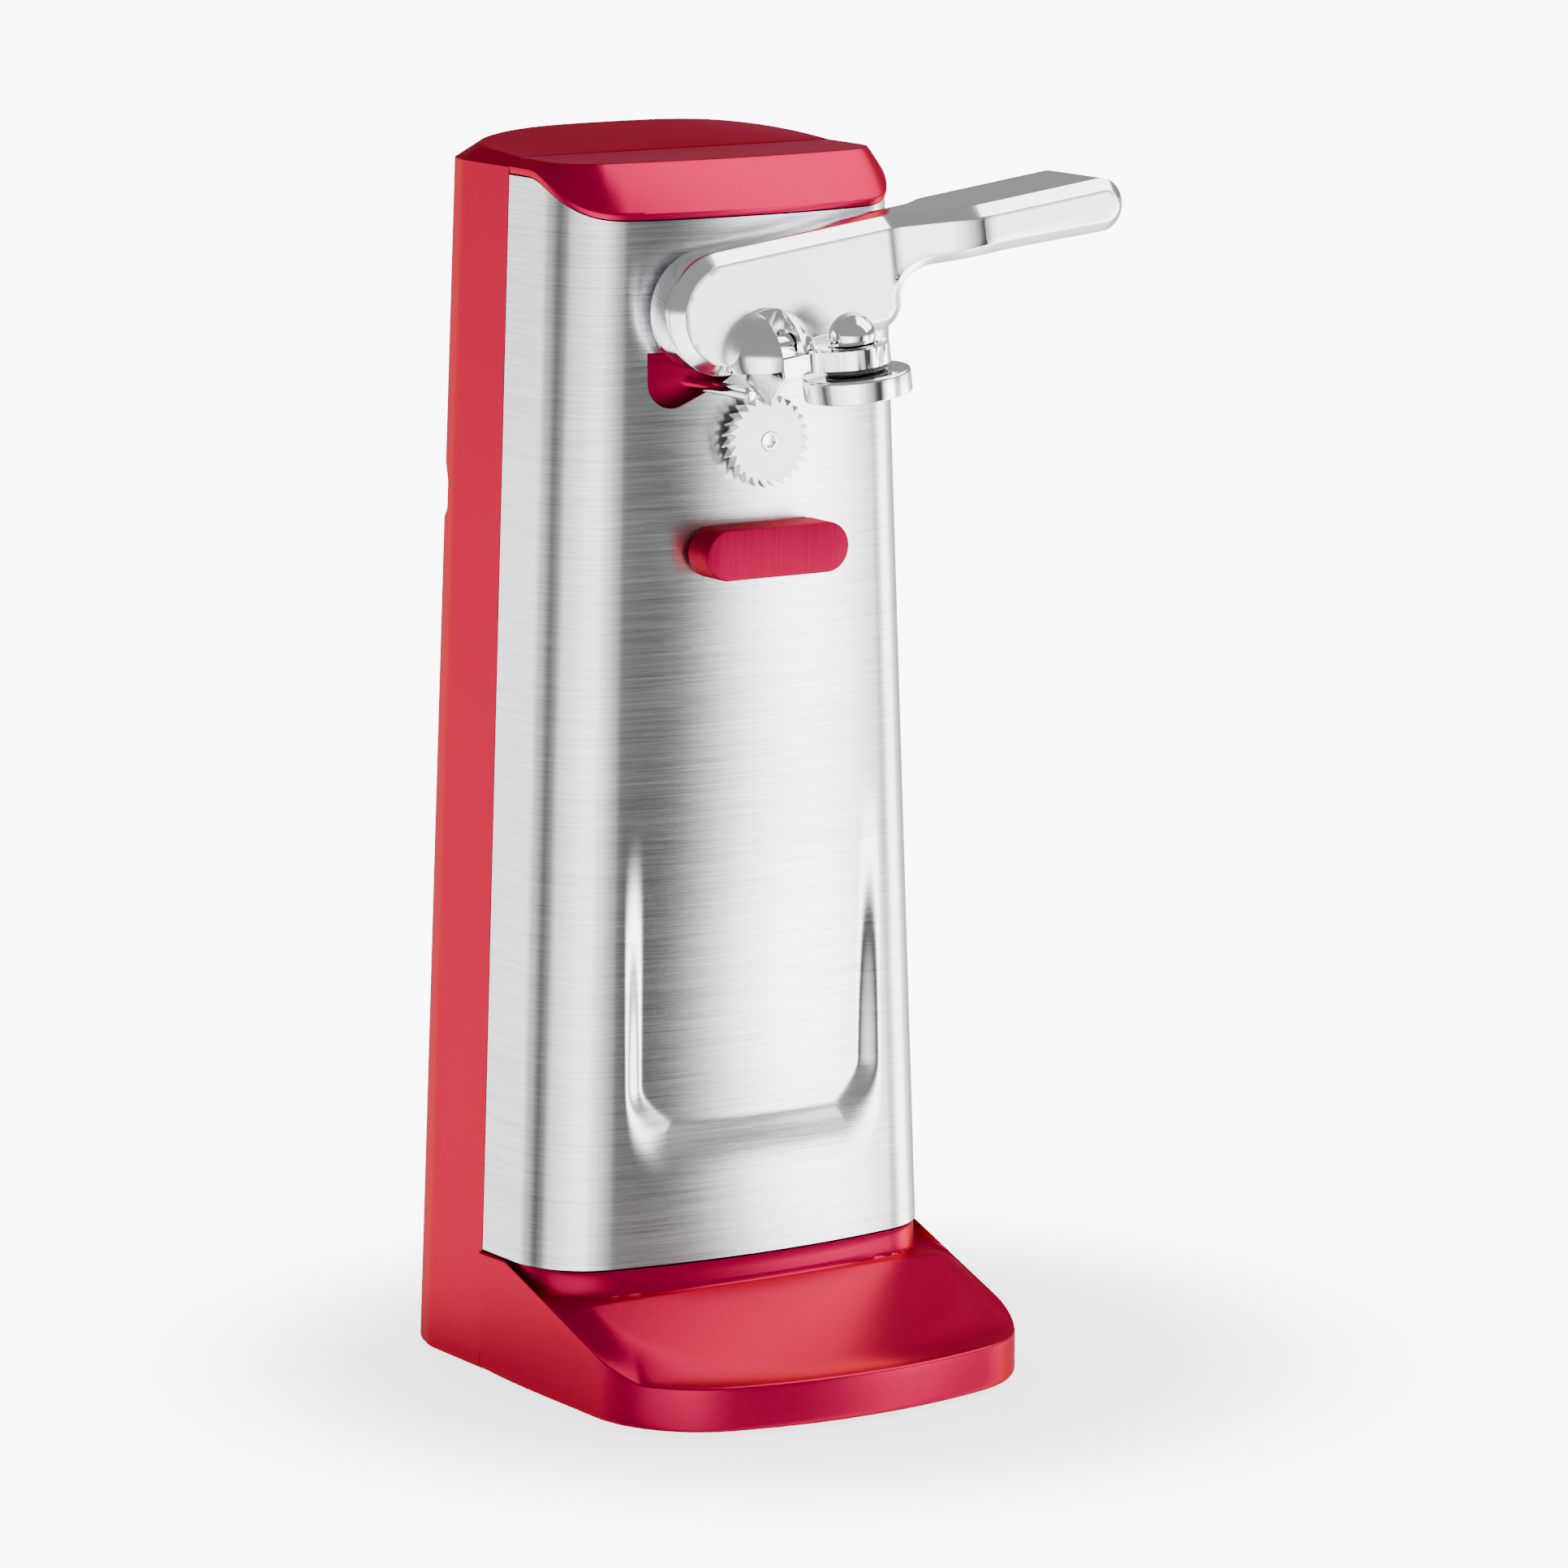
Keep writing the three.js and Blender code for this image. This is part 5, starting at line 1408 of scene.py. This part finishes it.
@dataclass
class Magnet:
    """The arm with its ring, the ball-headed stud, the washer and the magnet's cup."""

    p: float = 23.5
    y: float = -50.4
    ring: float = 7.3
    mid: float = -11.8
    half: float = 1.95
    cup_top: float = -15.3
    cup_radius: float = 11.0
    cup_height: float = 4.8

    ball: float = 4.7
    post: float = 2.0
    washer_top: float = -14.05
    washer_foot: float = -14.92

    def spin(self, name: str, profile: Array, sides: int = 96) -> Sheet:
        """A profile of (radius, q) turned about the stud's axis."""
        return lathe(name, profile, TILTED.place(np.array([self.p, self.y, 0.0])), TILTED.up, sides)

    def turned(
        self, name: str, corners: Sequence[Sequence[float]], radii: Sequence[float], sides: int = 96
    ) -> bpy.types.Object:
        """A piece turned about the stud's axis from the corners of its profile."""
        return self.spin(name, rounded_profile(corners, radii, 6), sides).make()

    def arm(self) -> bpy.types.Object:
        """The arm: a flat neck that flares into the ring, with its eye inside the dome."""
        low, high = self.mid - self.half, self.mid + self.half
        neck = np.vstack([
            [[6.4, -46.2], [6.4, -50.1]],
            rounded_profile([[11.6, -50.1], [14.3, -50.1], [17.5, -54.6]], [0, 9, 0], 14),
            arc((self.p, self.y), self.ring, 215, 505, 110),
        ])
        outline = resample(np.vstack([neck, neck[:1]]), 190)[:-1]
        arm = prism("magnet_ring", outline, low, high, TILTED.level).make()
        eye = prism("eye", disc((-47.0, -7.4), 2.2, 40), 6.4, 10.4, TILTED.across).make()
        web = prism("web", rectangle(-49.1, -45.0, -13.0, -7.4), 6.4, 10.4, TILTED.across).make()
        carve(arm, [eye, web], join=True)
        hole, seat = 3.0, 5.1
        bore = [
            [0, low - 1], [hole, low - 1], [hole, high - 1.6], [seat, high - 1.2], [seat, high + 1],
            [0, high + 1],
        ]
        carve(arm, [self.turned("hole", bore, [0, 0, 0.3, 0.3, 0, 0])])
        return soften(arm, 0.28, 40.0, 3)

    def stud(self) -> bpy.types.Object:
        """The stud: a ball that sits in the ring's countersink, on a post down to the cup."""
        top = self.mid + self.half
        seat, centre = top - 1.05, top + 1.9
        foot = self.cup_top - 0.8
        turn = np.radians(np.linspace(0, 128, 50))
        ball = np.stack([self.ball * np.sin(turn), centre + self.ball * np.cos(turn)], axis=1)
        post = [[3.5, seat], [self.post, seat], [self.post, foot], [0.0, foot]]
        return self.spin("ball_stud", np.vstack([ball[ball[:, 1] > seat], post])).make(sharp=45)

    def washer(self) -> bpy.types.Object:
        """The washer between the ring and the cup."""
        (inner, outer), top, foot = (2.3, 6.4), self.washer_top, self.washer_foot
        corners = [[inner, top], [outer, top], [outer, foot], [inner, foot], [inner, top]]
        return self.turned("washer", corners, [0, 0.3, 0.3, 0, 0])

    def cup(self) -> bpy.types.Object:
        """The magnet's cup, open below."""
        top, foot, radius = self.cup_top, self.cup_top - self.cup_height, self.cup_radius
        corners = [
            [2.3, top], [radius, top], [radius, foot], [radius - 1.4, foot], [radius - 1.4, top - 1.6],
            [2.3, top - 1.6], [2.3, top],
        ]
        return self.turned("magnet_shell", corners, [0, 0.7, 0.35, 0.3, 0.4, 0, 0], 120)

    def plate(self) -> bpy.types.Object:
        """The magnet's disc inside its cup."""
        top, foot, radius = self.cup_top - 1.9, self.cup_top - 4.6, self.cup_radius - 1.7
        return self.turned(
            "magnet_face", [[0, top], [radius, top], [radius, foot], [0, foot]], [0, 0.1, 0.4, 0]
        )

    def build(
        self, chrome: bpy.types.Material, dark: bpy.types.Material, iron: bpy.types.Material
    ) -> None:
        """Builds the pieces that hang from the lever."""
        add_piece(self.arm(), chrome, "magnet_swing", "chrome", "magnet_arm")
        add_piece(self.stud(), chrome, "magnet", "chrome", "magnet_stud")
        add_piece(self.washer(), dark, "magnet_collar", "dark_plastic", "magnet_washer")
        add_piece(self.cup(), chrome, "magnet", "chrome", "magnet_cup")
        add_piece(self.plate(), iron, "magnet", "laminations", "magnet_disc")


# ---------------------------------------------------------------- drive and rest


@dataclass
class Front:
    """What stands out of the steel front: feed wheel, shaft end, guide pin and can rest."""

    wheel_z: float = WHEEL_AT[1]
    face: float = -36.0
    radius: float = 9.5
    root: float = 8.1
    thickness: float = 3.2
    teeth: int = 26
    bore: float = 2.06
    web: float = 6.8
    slant: float = 5.0
    tooth_edge: float = 0.12
    shaft_radius: float = 3.2
    pin_ends: tuple[float, float] = (-49.9, -23.6)
    pin_radius: float = 1.3
    rest_z: float = 172.2
    rest_half: float = 5.2
    rest_length: float = 33.8

    def wheel(self) -> bpy.types.Object:
        """The feed wheel: saw teeth cut on a slant, so that the rear of each is turned a little."""
        pitch = 360.0 / self.teeth
        shape = [
            (0.0, self.radius), (0.07, self.radius - 0.05), (0.16, self.root),
            (0.26, self.root + 0.03), (0.62, self.root + 0.62),
        ]
        steps = [(tooth + part) * pitch for tooth in range(self.teeth) for part, _ in shape]
        reach = np.array([r for _ in range(self.teeth) for _, r in shape])

        def ring(y: float, turn: float, reach: Array | float) -> Array:
            """Points at each tooth step, turned by some degrees, at depth y."""
            angle = np.radians(np.array(steps) + turn)
            return on_y(np.stack([reach * np.cos(angle), self.wheel_z + reach * np.sin(angle)], axis=1), y)

        front, back, slant, edge = self.face, self.face + self.thickness, self.slant, self.tooth_edge
        rows = [
            ring(front, 0, self.bore), ring(front, 0, self.web), ring(front, 0, reach - edge),
            ring(front + edge, 0, reach), ring(back - edge, slant, reach),
            ring(back, slant, reach - edge), ring(back, slant, self.web),
            ring(back, slant, self.bore), ring(front, 0, self.bore),
        ]
        return Sheet("toothed_wheel").grid(np.stack(rows), wrap=True).make(sharp=25)

    def shaft(self) -> bpy.types.Object:
        """The drive shaft: a small countersunk ring shows at its end, in the wheel's middle."""
        end, dip, thin, thick = self.face - 0.05, self.face - 0.05 + 0.35, 1.98, self.shaft_radius
        shoulder, rear = self.face + self.thickness + 0.3, -18.0
        corners = [
            [0.0, dip], [1.1, dip], [1.35, end], [thin, end], [thin, shoulder], [thick, shoulder],
            [thick, rear], [0.0, rear],
        ]
        profile = rounded_profile(corners, [0, 0.05, 0.08, 0.12, 0, 0.1, 0.1, 0], 4)
        return lathe("wheel_shaft", profile, (0, 0, self.wheel_z), (0, 1, 0), 64).make(sharp=28)

    def pin(self) -> bpy.types.Object:
        """The guide pin with its rounded tip."""
        (tip, foot), radius = self.pin_ends, self.pin_radius
        corners = [[0.0, tip], [radius, tip], [radius, foot], [0.0, foot]]
        profile = rounded_profile(corners, [0, 0.9, 0.1, 0], 8)
        return lathe("guide_rod", profile, (PIN_AT[0], 0.0, PIN_AT[1]), (0, 1, 0), 48).make(sharp=45)

    def rest(self) -> bpy.types.Object:
        """The can rest: a bar with round ends and softened edges, on two hidden pegs."""
        half, reach, z = self.rest_half, self.rest_length / 2 - self.rest_half, self.rest_z
        outline = np.vstack([arc((reach, z), half, -90, 90, 40), arc((-reach, z), half, 90, 270, 40)])
        outline = resample(np.vstack([outline, outline[:1]]), 200)[:-1]
        steps = (
            (-31.9, 0.25), (-32.1, 0.0), (-34.0, 0.0), (-37.0, 0.0), (-39.15, 0.0), (-39.4, 0.08),
            (-39.56, 0.25), (-39.6, 0.5),
        )
        rows = [on_y(offset(outline, inset), y) for y, inset in steps]
        sheet = Sheet("rest_bar").grid(np.stack(rows), wrap=True)
        for row in (rows[0], rows[-1]):
            spots, faces = filled(row[:, [0, 2]])
            sheet.facets(on_y(spots, row[0, 1]), faces)
        bar = sheet.make(sharp=40)
        pegs = [
            prism("peg", disc((x, z), 2.4, 32), -32.0, -24.2, on_y).make() for x in (-9.0, 9.0)
        ]
        return carve(bar, pegs, join=True)

    def build(self, steel: bpy.types.Material, chrome: bpy.types.Material, red: bpy.types.Material) -> None:
        """Builds the four pieces."""
        for piece, finish, body, name, node in (
            (self.wheel(), steel, "drive", "chrome", "feed_wheel"),
            (self.shaft(), chrome, "drive", "chrome", "drive_shaft"),
            (self.pin(), chrome, "body", "chrome", "guide_pin"),
            (self.rest(), red, "body", "red_plastic", "can_rest"),
        ):
            add_piece(piece, finish, body, name, node)


@dataclass
class Fittings:
    """Small pieces on the back and under the base: feet, screws and the cord's inlet."""

    feet: tuple = ((-36, 22), (36, 22), (-30, -58), (30, -58))
    base_screws: tuple = ((-32, 12), (32, 12), (-30, -46), (30, -46))

    @staticmethod
    def screw(
        name: str, centre: Sequence[float], axis: Sequence[float], length: float
    ) -> bpy.types.Object:
        """A pan-head screw: its seat is at the centre, its head along the axis, with a cross cut in it."""
        shank, head = 1.4, 2.85
        corners = [
            [0, -length], [1.0, -length], [shank, 1.0 - length], [shank, 0.0], [head, 0.0],
            [head, 0.75], [1.9, 1.35], [0, 1.45],
        ]
        profile = rounded_profile(corners, [0, 0.2, 0.3, 0.15, 0.15, 0.5, 0.6, 0], 5)
        screw = lathe(name, profile, centre, axis, 48).make(sharp=40)
        slots = []
        for turn in (45.0, 135.0):
            half = np.array([math.cos(math.radians(turn)), math.sin(math.radians(turn))])
            side = np.array([-half[1], half[0]])
            run, width = half * 1.6, side * 0.3
            flat = np.array([run + width, width - run, -width - run, run - width])
            if axis[1]:
                outline = flat + np.array([centre[0], centre[2]])
                slots.append(prism("slot", outline, centre[1] + 0.6, centre[1] + 2.0, on_y).make())
            else:
                outline = flat + np.array([centre[0], centre[1]])
                slots.append(prism("slot", outline, centre[2] - 2.0, centre[2] - 0.6, on_z).make())
        return carve(screw, slots)

    def build(self, rubber: bpy.types.Material, zinc: bpy.types.Material) -> None:
        """Builds them all."""
        outside, bore = 7.0, 3.0
        corners = [
            [0, -0.55], [4.2, -0.55], [4.8, -1.0], [outside, -1.0], [outside, 0.64], [bore, 0.64],
            [bore, 3.45], [3.8, 3.55], [3.4, 4.6], [0, 4.6],
        ]
        profile = rounded_profile(corners, [0, 0.3, 0.3, 0.5, 0.2, 0.1, 0.1, 0.2, 0.4, 0], 5)
        for number, (x, y) in enumerate(self.feet, start=1):
            foot = lathe(f"rubber_foot_{number}", profile, (x, y, 0), (0, 0, 1), 64).make(sharp=40)
            add_piece(foot, rubber, "body", "rubber", f"foot_{number}")
        for number, (x, y) in enumerate(self.base_screws, start=1):
            screw = self.screw(f"under_screw_{number}", (x, y, 0.6), (0, 0, -1), 8.2)
            add_piece(screw, zinc, "body", "plain_steel", f"base_screw_{number}")
        for number, (x, z) in enumerate(HOUSING_SCREWS, start=1):
            screw = self.screw(f"back_screw_{number}", (x, 12.45, z), (0, 1, 0), 19.5)
            add_piece(screw, zinc, "body", "plain_steel", f"housing_screw_{number}")
        add_piece(self.grommet(), rubber, "body", "rubber", "cord_inlet")

    @staticmethod
    def grommet() -> bpy.types.Object:
        """The cord's inlet: a rubber ring held in the back by a groove."""
        x, z = CORD_INLET
        wall = float(FORM.rear(np.array(z)))
        bore, groove, flange, front = 3.2, 4.95, 6.6, wall - 5.2
        corners = [
            [bore, front], [flange, front], [flange, wall - 2.6], [groove, wall - 2.6],
            [groove, wall + 0.2], [6.7, wall + 0.2], [6.2, wall + 1.7], [bore, wall + 1.7], [bore, front],
        ]
        profile = rounded_profile(corners, [0, 0.4, 0.3, 0.2, 0.2, 0.3, 0.6, 0.4, 0], 5)
        return lathe("cord_grommet", profile, (x, 0, z), (0, 1, 0), 72).make(sharp=40)


# ---------------------------------------------------------------- whole object


NODE_FINISHES = (
    (NYLON, ("reduction_gear_1", "reduction_gear_2", "switch_plunger")),
    (BRASS, ("drive_bush", "final_gear", "motor_front_bearing", "motor_rear_bearing")),
    (LAMINATIONS, ("stator_core", "rotor_core", "mounting_plate")),
    (COPPER_WIRE, ("field_coil",)),
    (GRINDSTONE, ("sharpening_stone",)),
    (DARK_MOULDING, ("base_plate", "sharpener_guide", "switch_body")),
    (SCREW_STEEL, (
        "motor_front_bracket", "motor_rear_bracket", "plate_screw_1", "plate_screw_2", "plate_screw_3",
        "plate_screw_4", "motor_screw_1", "motor_screw_2", "motor_screw_3", "motor_screw_4", "blade_screw",
    )),
    (CHROME, ("motor_shaft", "axle_pin_1", "axle_pin_2", "lever_spindle", "arm_pin")),
)


def refinish(nodes: dict[str, bpy.types.Object]) -> None:
    """Gives the CAD nodes that stay their own finishes and smooth shading up to 35 degrees."""
    for finish, names in NODE_FINISHES:
        material = finish.build()
        for name in names:
            mesh = nodes[name].data
            mesh.materials[0] = material
            mesh.shade_smooth()
            mesh.set_sharp_from_angle(angle=math.radians(35.0))


def main() -> None:
    """Builds the studio and every piece, then gives the CAD nodes that stay their finishes."""
    logging.basicConfig(level=logging.INFO, format="%(name)s %(levelname)s %(message)s")
    Studio().build()
    red = RED_MOULDING.build()
    RearHousing().build(red)
    FrontHousing().build(red)
    SteelCover().build(BRUSHED_STEEL.build())
    chrome = CHROME.build()
    Lever().build(SATIN_CASTING.build(), POLISHED_CASTING.build(), GROUND_STEEL.build())
    Magnet().build(chrome, DARK_MOULDING.build(), LAMINATIONS.build())
    Front().build(HARD_STEEL.build(), chrome, SHADED_SATIN_RED.build())
    Fittings().build(BLACK_RUBBER.build(), SCREW_STEEL.build())
    refinish(frame["nodes"])


if __name__ == "__main__":
    main()
